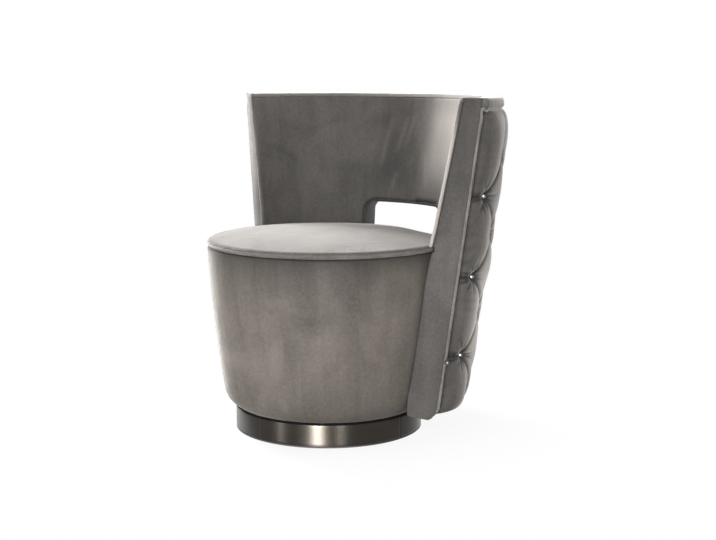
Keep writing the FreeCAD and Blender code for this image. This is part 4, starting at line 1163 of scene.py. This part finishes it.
    def creases(self, s, shell, angle, z):
        """Depth of the short folds that run out from each button."""
        draw = np.random.default_rng(self.fold_seed)
        depth = np.zeros(np.shape(angle))
        for near, across, up in near_buttons(s, shell, angle, z, 0.06):
            deepest = depth[near]
            for bearing in self.bearings:
                shift, reach, deep = draw.random(3)
                bearing = math.radians(bearing + 12 * (shift - 0.5))
                reach = 0.030 + 0.024 * reach
                along = across * math.cos(bearing) + up * math.sin(bearing)
                beside = up * math.cos(bearing) - across * math.sin(bearing)
                line = bell(beside, 0.0016 + 0.05 * np.maximum(along, 0)) * ease(along / 0.006)
                line *= 1 - ease((along / reach - 0.35) / 0.65)
                deepest = np.maximum(deepest, (0.0022 + 0.0022 * deep) * line)
            depth[near] = deepest
        return depth

    def rise(self, s, shell, angle, z, outer, top):
        """Height of the pad over the outer panel."""
        last_row = s.first_row + s.row_pitch * 3
        column, row = self.lattice(s, angle, z)
        spots = polar(shell.backing(z), angle, z)
        swell = np.abs(0.5 * (np.cos(np.pi * column) + np.cos(np.pi * row)))
        between = np.sqrt(np.abs(np.sin(np.pi * column) * np.sin(np.pi * row)))
        below = np.clip((s.first_row - z) / (s.first_row - s.hem_low), 0, 1)
        above = np.clip((z - last_row) / (top - last_row), 0, 1)
        beyond = np.maximum(np.maximum(np.abs(outer), below), above)
        between = np.maximum(between, 0.85 * np.sqrt(beyond))
        floor = s.tuft_button + (s.tuft_pleat - s.tuft_button) * between
        crown = s.tuft_crown + 0.0016 * flow(spots, 7.0, 21) + 0.005 * bell(z - 0.405, 0.05)
        rise = floor + (crown - floor) * swell ** 0.48
        for number, (near, across, up) in enumerate(near_buttons(s, shell, angle, z, 0.075)):
            away = np.hypot(across, up)
            lobes = 8 + (number * 5) % 4
            sway = number * 1.7 + 1.3 * flow(spots[near], 24.0, 24)
            pull = np.cos(np.arctan2(up, across) * lobes + sway) * np.exp(-away / 0.024)
            sunk = bell(away, 0.013)
            rise[near] += 0.0012 * pull * (1 - sunk) - 0.0045 * sunk
        rise -= 0.0035 * np.exp(-self.from_pleat(s, angle, z) / 0.0028)
        rise -= self.creases(s, shell, angle, z)
        gathers = np.cos(angle * 95 + 7 * flow(spots, 9.0, 22)) * np.exp(-(top - z) / 0.014)
        rise += 0.0011 * gathers + 0.0006 * flow(spots, 26.0, 23)
        arm = shell.arm_angle(shell.backing(z) + 0.01, s.facing)
        gap_arm = np.maximum(arm - np.abs(angle), 0) * shell.outside(z)
        rise -= 0.0016 * self.pucker(spots) * np.exp(-gap_arm / 0.020)
        gap_open = np.maximum(shell.opening(angle, z, s.lining + FIT), 0)
        for distance, reach, level in (
                (gap_arm, 0.040, 0.0060), (top - z, 0.078, 0.0085), (gap_open, 0.026, 0.0105),
                (z - s.hem_low + 0.0014, 0.016, 0.010)):
            rise = level + (rise - level) * quarter(distance / reach)
        return rise


class CHAIR_OT_buttons(PieceOperator, bpy.types.Operator):
    """Cut crystal buttons in steel cups"""
    bl_idname = "chair.buttons"
    bl_label = "Crystal buttons"
    # rings of each solid: height, share of the radius, corners
    stone_rings = ((0.0020, 0.90, 16), (0.0034, 0.985, 16), (0.0042, 0.985, 16),
                   (0.0056, 0.74, 8), (0.0066, 0.44, 8))
    cup_rings = ((-0.0010, 0.86, 20), (0.0006, 1.06, 20), (0.0030, 1.10, 20),
                 (0.0037, 1.07, 20), (0.0037, 0.98, 20), (0.0020, 0.92, 20))
    sunk = 0.0045               # how deep a button pulls the pad in
    # the dark-ringed stone beside each arm's piping: its height, how far it stands off the
    # back's outside and the arm's plane, its rise over the ring, and the scale of both
    edge_height, edge_out, edge_behind, edge_raised = 0.1795, 0.0048, 0.0010, 0.0025
    edge_size, ring_size = 0.66, 1.45

    def build(self, s, shell):
        stone = self.solid("stone_cut", self.stone_rings, s.stone_radius * 0.44)
        cup = self.solid("cup_cut", self.cup_rings, s.stone_radius * 0.49)
        spots, aims = [], []
        for angle, height in button_places(s):
            outward = Vector((math.sin(angle), math.cos(angle), 0))
            radius = float(shell.backing(height)) + s.tuft_button - self.sunk
            spots.append(outward * radius + Vector((0, 0, height)))
            aims.append(outward * math.cos(shell.lean) - Vector((0, 0, math.sin(shell.lean))))
        stones = scattered("crystal_buttons", spots, aims, stone, crystal(), 4)
        cups = scattered("button_cups", spots, aims, cup, finishes["plain_steel"], 4)
        spots, aims = [], []
        for side in (-1, 1):
            radius = float(shell.outside(self.edge_height)) + self.edge_out
            spot = Vector(shell.on_arm(side, radius, self.edge_behind, self.edge_height))
            outward = Vector((spot.x, spot.y, 0)).normalized()
            forward = Vector((side * math.sin(s.arm_toe), -math.cos(s.arm_toe), 0))
            spots.append(spot)
            aims.append((forward * 0.68 + outward * 0.47).normalized())
        raised = [spot + aim * self.edge_raised for spot, aim in zip(spots, aims)]
        pale = speckled("pale_stone", (0.71, 0.71, 0.71), 0.6, 900.0, 0.00002)
        jet = speckled("black_cup", (0.003, 0.003, 0.003), 0.85, 300.0, 0.0001)
        small = scattered("edge_crystals", raised, aims, stone, pale, 5, self.edge_size)
        rings = scattered("edge_cups", spots, aims, cup, jet, 5, self.ring_size)
        for part in (stone, cup):
            bpy.data.objects.remove(part)
        dress(stones, "seat", ("tuft_buttons",))
        dress(cups, "seat")
        dress(small, "seat")
        dress(rings, "seat")

    def solid(self, name, rings, radius):
        """Faceted solid from rings of points, closed at both ends."""
        work = bmesh.new()
        for number, (height, share, count) in enumerate(rings):
            for k in range(count):
                angle = ROUND * (k + 0.5 * (number % 2)) / count
                work.verts.new((radius * share * math.cos(angle),
                                radius * share * math.sin(angle), height))
        bmesh.ops.convex_hull(work, input=work.verts[:])
        loose = [v for v in work.verts if not v.link_faces]
        bmesh.ops.delete(work, geom=loose, context="VERTS")
        bmesh.ops.recalc_face_normals(work, faces=work.faces[:])
        mesh = bpy.data.meshes.new(name)
        work.to_mesh(mesh)
        work.free()
        return added(name, mesh)


class CHAIR_OT_top_band(PieceOperator, bpy.types.Operator):
    """Plain padded band along the top of the back"""
    bl_idname = "chair.top_band"
    bl_label = "Top band"
    columns = 261
    edge = 0.008                # radius of the rounded top edge
    tucks = 120                 # gathers along the seam

    def build(self, s, shell):
        top, low, edge = s.chair_height, s.border_low, self.edge
        inner = 0.012 + FIT
        out = shell.outside(low) + s.border_swell
        bend = np.linspace(0, QUARTER, 9)
        rounded = np.stack([out - 0.0065 + edge * np.sin(bend), top - edge + edge * np.cos(bend)],
                           1)
        across = np.linspace(0, 1, 10)
        start = shell.inside(top) + inner
        crown = np.stack([start + (rounded[0, 0] - start) * across,
                          top - 0.0009 * (1 - np.sin(math.pi * across) ** 0.6)], 1)[:-1]
        down = np.linspace(0, 1, 12)[1:]
        face = np.stack([rounded[-1, 0] + 0.0012 * np.sin(math.pi * down) - 0.0060 * down ** 5,
                         top - edge + (low + 0.0012 - top + edge) * down], 1)
        under = np.array([(shell.outside(low) - 0.001, low + 0.0006),
                          (shell.inside(low) + inner, low + 0.0006)])
        outline = np.concatenate([crown, rounded, face, under])
        share = np.linspace(-1, 1, self.columns)
        share = np.sign(share) * (1 - (1 - np.abs(share)) ** 1.15)
        radius, height = outline.T
        angle = share[:, None] * shell.arm_angle(radius, 0.0022)
        spots = polar(radius, angle, height)
        skin = np.clip((radius - out + 0.012) / 0.010, 0, 1)
        tuck = np.cos(angle * self.tucks + 8 * flow(spots, 8.0, 31))
        tuck *= np.exp(-(height - low) / 0.007) * 0.0009
        slow = flow(spots, 9.0, 32) * 0.0008
        calm = quarter((1 - np.abs(share)) / 0.04)[:, None]
        spots = polar(radius + skin * (tuck + slow) * calm - 0.003 * (1 - calm) * skin,
                      angle, height)
        index = np.arange(angle.size).reshape(angle.shape)
        faces = [grid_quads(index, False), index[:1], index[-1:, ::-1]]
        # painted shade: the band's copy of the velvet is made darker, and darker still along its
        # seam; painted highlight along its top edge
        made = piece("top_band_pad", spots.reshape(-1, 3), faces,
                     velvet(0.85, "round", "velvet_band", 1.0, True))
        mark(made, "fold", shaded(spots[..., 2] - low, 0.85, 0.0035))
        mark(made, "nap", 0.09 * (spots[..., 2] > top - 0.004))
        dress(made, "seat", ("top_border",))


class CHAIR_OT_arm_facings(PieceOperator, bpy.types.Operator):
    """Padded fronts of the arms"""
    bl_idname = "chair.arm_facings"
    bl_label = "Arm facings"
    columns = 41
    # name, side, painted shade (depth, where it starts, over what height) and depth of the painted
    # shade at the seam
    arms = (("left", 1, 0.44, 0.38, 0.28, 0.2), ("right", -1, 0.85, 0.66, -0.2, 0.8))

    def build(self, s, shell):
        low, joint = s.hem_low, s.border_low
        over_drum, over_piping = 0.425, 0.4357
        z = np.concatenate([
            low + 0.0025 * (1 - np.cos(np.linspace(0, QUARTER, 5))),
            np.linspace(low + 0.005, 0.424, 74), np.linspace(0.4262, 0.4354, 4),
            np.linspace(0.4360, joint - 0.0004, 60), np.linspace(joint + 0.0004, 0.750, 6),
            0.750 + 0.009 * np.sin(np.linspace(0.2, QUARTER, 7))])
        drum_radius, drum_height = drum_side(s)[::-1].T
        drum = np.interp(np.maximum(z, 0.098), drum_height, drum_radius) + 0.0007
        inner = np.where(z < over_piping, s.seat_radius + s.welt_radius + FIT,
                         shell.inside(z) + s.inner_bead + FIT)
        inner = np.where(z < over_drum, drum, inner)
        gap, corner = s.arm_welt - 0.0012, low + 0.014
        foot = shell.outside(low) - s.foot_tuck + 0.007
        share = np.clip((z - low) / (corner - low), 0, 1)
        outer = np.where(z < corner, foot + (shell.outside(corner) - gap - foot) * share ** 0.8,
                         shell.outside(z) - gap)
        z, inner, wide = z[:, None], inner[:, None], (outer - inner)[:, None]
        across = (1 - np.cos(np.linspace(0, math.pi, self.columns))) / 2
        rim = np.minimum(across, (1 - across) * 3 + 0.02) * wide
        soft = quarter(rim / 0.0024) * quarter((z - low + 0.0004) / 0.004)
        soft = soft * quarter((0.7595 - z) / 0.006 + 0.02)
        crown = 0.0016 * np.sin(math.pi * across)
        radius = inner + wide * across
        depth = 0.0034 * (1 - soft) - crown * soft - shell.twist(z) * (1 - across)
        sag = np.interp(across, (0, 0.3, 0.93, 1), (-0.45, 0.1, 1, 0.8))
        level = z - 0.0125 * sag * np.maximum(0, 1 - (z - low) / 0.05)
        behind = np.maximum(np.where(z < joint, s.facing, 0.0019), depth + 0.0004)
        count = np.arange(self.columns)
        free = np.minimum(1, count * count[::-1] / 80)[:, None]
        # painted shade along the inner edge of each facing
        seam = np.broadcast_to(bell(across, 0.12), radius.shape)
        for name, side, dark, dark_from, dark_over, dark_seam in self.arms:
            front = shell.on_arm(side, radius, depth, level)
            back = shell.on_arm(side, radius, behind, level)
            normal = np.array([side * math.sin(s.arm_toe), -math.cos(s.arm_toe), 0])
            lift = flow(front, 9.0, 41 + side) * 0.0006
            front = front + lift[..., None] * normal * free
            points, faces = slab(np.dstack([front, seam]), np.dstack([back, seam]))
            # painted shade: the facings' copy of the velvet is made darker; the left one darker
            # towards the top, the right one towards the foot, and both along the inner edge
            made = piece("arm_facing_pad_" + name, points[:, :3], faces,
                         velvet(0.93, "up", "velvet_facing", 0.38, True))
            fold = 1 - dark * ease((points[:, 2] - dark_from) / dark_over)
            mark(made, "fold", fold * (1 - dark_seam * points[:, 3]))
            dress(made, "seat", ("arm_facing_" + name,))


class CHAIR_OT_opening_lining(PieceOperator, bpy.types.Operator):
    """Velvet lining of the opening, rolled at both lips"""
    bl_idname = "chair.opening_lining"
    bl_label = "Opening lining"
    step = 0.004                # spacing of the points along the straight sides

    def path(self, s):
        """Line round the opening in the unrolled back, and its outward direction."""
        half = s.opening_half * s.inner_low_radius
        spots, normals = [], []
        for x, z, radius, first in ((half, s.opening_head, s.opening_round, 0),
                                    (-half, s.opening_head, s.opening_round, 90),
                                    (-half, s.opening_sill, s.opening_foot, 180),
                                    (half, s.opening_sill, s.opening_foot, 270)):
            centre = (x - math.copysign(radius, x), z - radius if first < 180 else z + radius)
            for a in np.radians(np.linspace(first, first + 90, 15)):
                normals.append((math.cos(a), math.sin(a)))
                spots.append(np.array(centre) + radius * np.array(normals[-1]))
        spots, normals = np.array(spots), np.array(normals)
        dense, facing = [], []
        for a, b, first, last in zip(spots, np.roll(spots, -1, 0),
                                     normals, np.roll(normals, -1, 0)):
            steps = max(1, int(np.hypot(*(b - a)) / self.step))
            for share in np.arange(steps) / steps:
                dense.append(a + (b - a) * share)
                mixed = first * (1 - share) + last * share
                facing.append(mixed / np.hypot(*mixed))
        return np.array(dense), np.array(facing)

    def build(self, s, shell):
        dense, facing = self.path(s)
        half = s.lining / 2
        level = np.arange(14) / 13
        bend = np.linspace(0, math.pi, 9)[1:-1]
        inside, lip = np.zeros(14), np.ones(7)
        # once round the cloth: depth into the wall, share of the way out, roll of the lip
        deep, out, roll = np.concatenate([
            (inside, level, inside), (half * (1 - np.cos(bend)), lip, half * np.sin(bend)),
            (inside + s.lining, 1 - level, inside),
            (half * (1 + np.cos(bend)), 0 * lip, -half * np.sin(bend))], 1)
        deep = deep - 0.0006 * np.sin(math.pi * out) * (deep < 1e-6)
        across = dense[:, None, 0] + facing[:, None, 0] * deep
        z = dense[:, None, 1] + facing[:, None, 1] * deep
        near = shell.inside(np.maximum(z, s.seat_height)) + 0.0040
        far = shell.outside(z) + 0.0115
        spots = polar(near + (far - near) * out + roll, across / s.inner_low_radius, z)
        index = np.arange(z.size).reshape(z.shape)
        # painted shade: the lining's copy of the velvet is made much darker
        made = piece("opening_lining_pad", spots.reshape(-1, 3), [grid_quads(index)],
                     velvet(0.30, "round", "velvet_lining", 0.6))
        dress(made, "seat", ("opening_lining",))


class CHAIR_OT_plinth(PieceOperator, bpy.types.Operator):
    """Brushed steel band of the plinth, in four lengths with fine joints"""
    bl_idname = "chair.plinth"
    bl_label = "Plinth band"
    columns = 720
    joints = (182.0, 272.0, 358.0, 88.0)    # degrees
    joint_half, joint_depth = 0.3, 0.0011

    def build(self, s, shell):
        out, wall = s.plinth_radius, s.plinth_wall
        low, high = s.plinth_low, s.plinth_high
        bend = np.linspace(0, QUARTER, 6)
        lip = 0.0009
        outline = np.concatenate([
            [(out - wall, low), (out - 0.0004, low), (out, low + 0.0004)],
            np.linspace((out, low + 0.006), (out, high - 0.006), 9),
            np.stack([out - lip + lip * np.cos(bend), high - lip + lip * np.sin(bend)], 1),
            [(out - wall + 0.0003, high), (out - wall, high - 0.0003), (out - wall, low + 0.02)]])

        def jointed(points):
            angle, radius = unrolled(points)
            angle = np.degrees(angle) % 360
            away = np.min([np.abs((angle - joint + 180) % 360 - 180) for joint in self.joints], 0)
            dip = self.joint_depth * (away < self.joint_half) * (radius > out - wall / 2)
            return polar(radius - dip, np.radians(angle), points[..., 2])

        points, faces = turned(outline, self.columns, jointed)
        made = piece("plinth_steel", points, faces, brushed_steel())
        dress(made, "base", ("plinth_band",))


class CHAIR_OT_webbing(PieceOperator, bpy.types.Operator):
    """Seat webbing, woven over and under, and the dust covers under the chair"""
    bl_idname = "chair.webbing"
    bl_label = "Webbing and dust covers"
    pitch, strap_width, strap_count, strap_height = 0.072, 0.050, 4, 0.3942
    cover_inner = 0.146         # hole in the drum's dust cover
    cloth = 0.0004              # thickness of a cover and half that of a strap

    def build(self, s, shell):
        weave = woven("webbing", (0.30, 0.24, 0.16), 0.0022)
        for axis, way in enumerate(("across", "along")):
            self.straps("webbing_" + way, "seat_straps_" + way, axis, weave)
        black = woven("black_cambric", bpy.context.scene.chair_colours.cambric, 0.0012)
        low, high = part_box("drum_dust_cover")
        drum = self.cover("drum_underlay", self.cover_inner, high.x, low.z, HALF, black)
        dress(drum, "seat", ("drum_dust_cover",))
        base = s.outer_low_radius - s.foot_tuck - FIT
        near = s.drum_foot_radius + 0.003
        half = float(shell.arm_angle((near + base) / 2, s.facing + 0.001))
        back = self.cover("back_underlay", near, base, s.hem_low, half, black)
        dress(back, "seat", ("shell_dust_cover",))
        self.staples([
            polar(high.x - 0.008, np.linspace(0, ROUND, 36, endpoint=False), low.z + 0.0002),
            polar(base - 0.007, np.linspace(-half + 0.05, half - 0.05, 30), s.hem_low + 0.0002)])

    def straps(self, name, node, axis, material):
        """Four bands that rise and fall where they cross the other four."""
        pitch, wide, count = self.pitch, self.strap_width, self.strap_count
        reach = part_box(node)[1][axis]
        offsets = (np.arange(count) - (count - 1) / 2) * pitch
        across = np.linspace(-wide / 2, wide / 2, 7)
        thin = np.array([0, 0, self.cloth])
        groups, faces, base = [], [], 0
        for number, offset in enumerate(offsets):
            half = math.sqrt(max(reach ** 2 + (pitch / 2 + wide / 2) ** 2
                                 - (abs(offset) + wide / 2) ** 2, 0.0001))
            along = np.linspace(-half, half, 97)
            lift = np.zeros(97)
            for other, cross in enumerate(offsets):
                side = 1 if (number + other + axis) % 2 else -1
                lift += side * 0.0011 * np.exp(-((along - cross) / 0.022) ** 4)
            grid = np.stack(np.broadcast_arrays(along[:, None], offset + across[None, :],
                                                (self.strap_height + lift)[:, None]), -1)
            grid = grid[..., [axis, 1 - axis, 2]]
            points, cells = slab(grid + thin, grid - thin)
            groups.append(points)
            faces += [f + base for f in cells]
            base += len(points)
        made = piece(name, np.concatenate(groups), [np.concatenate(faces)], material, smooth=False)
        dress(made, "seat", (node,))

    def cover(self, name, near, far, low, half, material):
        """Thin ring or part ring of cloth, slack by a third of a millimetre."""
        share = np.linspace(0, 1, 9)
        angle = np.linspace(-half, half, 121)
        sag = 0.0003 * np.sin(math.pi * share)
        grid = polar(near + (far - near) * share, angle[:, None], low + self.cloth - sag)
        points, faces = slab(grid, grid + np.array([0, 0, self.cloth]))
        made = piece(name, points, faces, material)
        merged = bmesh.new()
        merged.from_mesh(made.data)
        bmesh.ops.remove_doubles(merged, verts=merged.verts[:], dist=1e-6)
        merged.to_mesh(made.data)
        merged.free()
        return made

    def staples(self, rows):
        """Staples that hold the dust covers."""
        corners = [(x, y, z) for z in (-0.0002, 0.0004) for y in (-0.0005, 0.0005)
                   for x in (-0.005, 0.005)]
        staple = bare("staple", corners, (), [(0, 2, 3, 1), (4, 5, 7, 6), (0, 1, 5, 4),
                                              (2, 6, 7, 3), (0, 4, 6, 2), (1, 3, 7, 5)])
        spots = np.concatenate(rows)
        made = scattered("cover_staples", spots, [(0, 0, -1.0)] * len(spots), staple,
                         finishes["plain_steel"], 9)
        bpy.data.objects.remove(staple)
        dress(made, "seat")


class CHAIR_OT_frame_finishes(PieceOperator, bpy.types.Operator):
    """Finishes of the frame, the bearing and the base"""
    bl_idname = "chair.frame_finishes"
    bl_label = "Frame finishes"

    def build(self, s, shell):
        steel = finishes["plain_steel"] = plain_metal("plain_steel", (0.46, 0.46, 0.47), 0.28)
        for material, names in (
                (steel, "base_plate lower_race upper_race king_bolt king_washer king_nut"
                        " back_bolts"),
                (plain_metal("polished_steel", (0.72, 0.72, 0.73), 0.08), "bearing_balls"),
                (plain_metal("bush_bronze", (0.55, 0.36, 0.17), 0.26), "king_bush"),
                (speckled("cage_nylon", (0.74, 0.73, 0.70), 0.42, 700.0, 0.00005), "ball_cage"),
                (speckled("floor_rubber", (0.02, 0.02, 0.021), 0.7, 1400.0, 0.0002), "floor_ring"),
                # the plinth's top board and its spacer are matt black; their black also stands in
                # for the shade in the gap under the drum
                (speckled("black_board", (0.012, 0.012, 0.012), 0.55, 900.0, 0.0001),
                 "plinth_board plinth_spacer"),
                (plywood(), "drum_board drum_top_ring drum_wall inner_panel outer_panel"),
                (timber(), "drum_uprights arm_post_left arm_post_right back_post_left"
                           " back_post_right top_rail lumbar_rail sill_rail bottom_rail")):
            for name in names.split():
                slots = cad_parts[name].data.materials
                slots.clear()
                slots.append(material)


def aimed(made, spot, aim):
    """Stands a lamp or the camera at a spot, looking at its aim."""
    made.location = spot
    made.rotation_euler = (Vector(aim) - Vector(spot)).to_track_quat("-Z", "Y").to_euler()


class CHAIR_OT_stage(bpy.types.Operator):
    """Floor, white surround, soft lamps and the camera"""
    bl_idname = "chair.stage"
    bl_label = "Stage"
    bl_options = {"REGISTER", "UNDO"}
    white = (1, 1, 1, 1)
    plinth_aim, strip_high = (0.0, 0.0, 0.05), 1.2
    # name, spot, aim, width and height, watts, what it shows on
    lamps = (
        ("top_softbox", (-0.35, -0.25, 2.6), (0.0, 0.0, 0.4), (1.7, 1.5), 42.0, "all"),
        ("left_softbox", (-2.3, 0.25, 1.55), (0.25, 0.0, 0.5), (1.0, 1.3), 150.0, "all"),
        ("front_softbox", (1.1, -2.7, 1.2), (0.0, 0.0, 0.35), (1.2, 1.4), 34.0, "all"),
        ("right_softbox", (1.6, 2.2, 1.1), (0.2, 0.1, 0.40), (1.0, 1.6), 70.0, "cloth"),
        ("metal_strip", (1.34, -2.23, 0.62), plinth_aim, (0.44, strip_high), 330.0, "metal"),
        ("metal_line", (2.22, -1.40, 0.62), plinth_aim, (0.20, strip_high), 38.0, "metal"),
        ("metal_glint", (-0.61, -2.53, 0.62), plinth_aim, (0.20, strip_high), 30.0, "metal"))
    camera_spot, camera_aim = (2.09892, -2.14806, 0.82697), (0.0499, 0.0465, 0.3616)
    focal_length, film_width = 66.19, 36.0

    def execute(self, context):
        self.floor(context)
        self.surround(context)
        for name, spot, aim, size, power, shown in self.lamps:
            lamp = bpy.data.lights.new(name, "AREA")
            lamp.shape = "RECTANGLE"
            lamp.size, lamp.size_y = size
            lamp.energy = power
            made = added(name, lamp)
            made.visible_diffuse = shown != "metal"
            made.visible_glossy = shown != "cloth"
            aimed(made, spot, aim)
        self.camera(context)
        return {"FINISHED"}

    def floor(self, context):
        """Plain floor that fades into the white surround away from the chair."""
        floor = bare("floor", [(-9, -9, 0), (9, -9, 0), (9, 9, 0), (-9, 9, 0)], (),
                     [(0, 1, 2, 3)])
        finish = Finish("floor_paint")
        tint = finish.mottled(finish.grain(40.0, 3.0, 0.6), context.scene.chair_colours.floor,
                              0.98, 1.02)
        matt = finish.node("ShaderNodeBsdfDiffuse", {}, {"Color": tint})
        glow = finish.node("ShaderNodeEmission", {}, {"Color": self.white, "Strength": 1.0})
        x, y, _ = finish.axes()
        fade = finish.node("ShaderNodeMapRange", {"interpolation_type": "SMOOTHSTEP"}, {
            "Value": (x * x + y * y) ** 0.5, "From Min": 0.22, "From Max": 0.70,
            "To Min": 0.88, "To Max": 1.0})
        finish.close(finish.node("ShaderNodeMixShader", {}, {
            0: self.seen(finish) * fade, 1: matt, 2: glow}))
        floor.data.materials.append(finish.material)

    def seen(self, tree):
        """1 for rays that show the surround itself, straight or in metal and glass."""
        path = tree.node("ShaderNodeLightPath")
        straight, mirrored, through = path.beside("Is Camera Ray", "Is Glossy Ray",
                                                  "Is Transmission Ray")
        return tree.node("ShaderNodeClamp", {}, {"Value": straight + mirrored + through})

    def surround(self, context):
        """White where it is seen, and only a soft fill where it lights."""
        world = context.scene.world = bpy.data.worlds.new("studio")
        world.use_nodes = True
        tree = NodeTree(world.node_tree)
        tree.tree.nodes.clear()
        soft, bright = (tree.node("ShaderNodeBackground", {}, {
            "Color": self.white, "Strength": strength}) for strength in (0.18, 1.0))
        both = tree.node("ShaderNodeMixShader", {}, {0: self.seen(tree), 1: soft, 2: bright})
        tree.node("ShaderNodeOutputWorld", {}, {"Surface": both})

    def camera(self, context):
        lens = bpy.data.cameras.new("camera")
        lens.lens, lens.sensor_width = self.focal_length, self.film_width
        lens.sensor_fit = "HORIZONTAL"
        context.scene.camera = added("camera", lens)
        aimed(context.scene.camera, self.camera_spot, self.camera_aim)
        context.scene.view_settings.view_transform = "Standard"


PIECES = (CHAIR_OT_frame_finishes, CHAIR_OT_plinth, CHAIR_OT_drum, CHAIR_OT_seat, CHAIR_OT_piping,
          CHAIR_OT_inner_back, CHAIR_OT_opening_lining, CHAIR_OT_tufted_back, CHAIR_OT_buttons,
          CHAIR_OT_top_band, CHAIR_OT_arm_facings, CHAIR_OT_webbing, CHAIR_OT_stage)


class CHAIR_PT_sidebar(bpy.types.Panel):
    bl_label = "Cocktail chair"
    bl_idname = "CHAIR_PT_sidebar"
    bl_space_type = "VIEW_3D"
    bl_region_type = "UI"
    bl_category = "Chair"

    def draw(self, context):
        column = self.layout.column(align=True)
        for operator in PIECES:
            column.operator(operator.bl_idname)
        for group in (context.scene.chair_sizes, context.scene.chair_colours):
            box = self.layout.box()
            for name in group.__annotations__:
                box.prop(group, name)


CLASSES = (ChairSizes, ChairColours) + PIECES + (CHAIR_PT_sidebar,)


def register():
    for cls in CLASSES:
        bpy.utils.register_class(cls)
    bpy.types.Scene.chair_sizes = PointerProperty(type=ChairSizes)
    bpy.types.Scene.chair_colours = PointerProperty(type=ChairColours)


def unregister():
    del bpy.types.Scene.chair_sizes, bpy.types.Scene.chair_colours
    for cls in reversed(CLASSES):
        bpy.utils.unregister_class(cls)


def main():
    register()
    for operator in PIECES:
        group, name = operator.bl_idname.split(".")
        getattr(getattr(bpy.ops, group), name)()


if __name__ == "__main__":
    main()
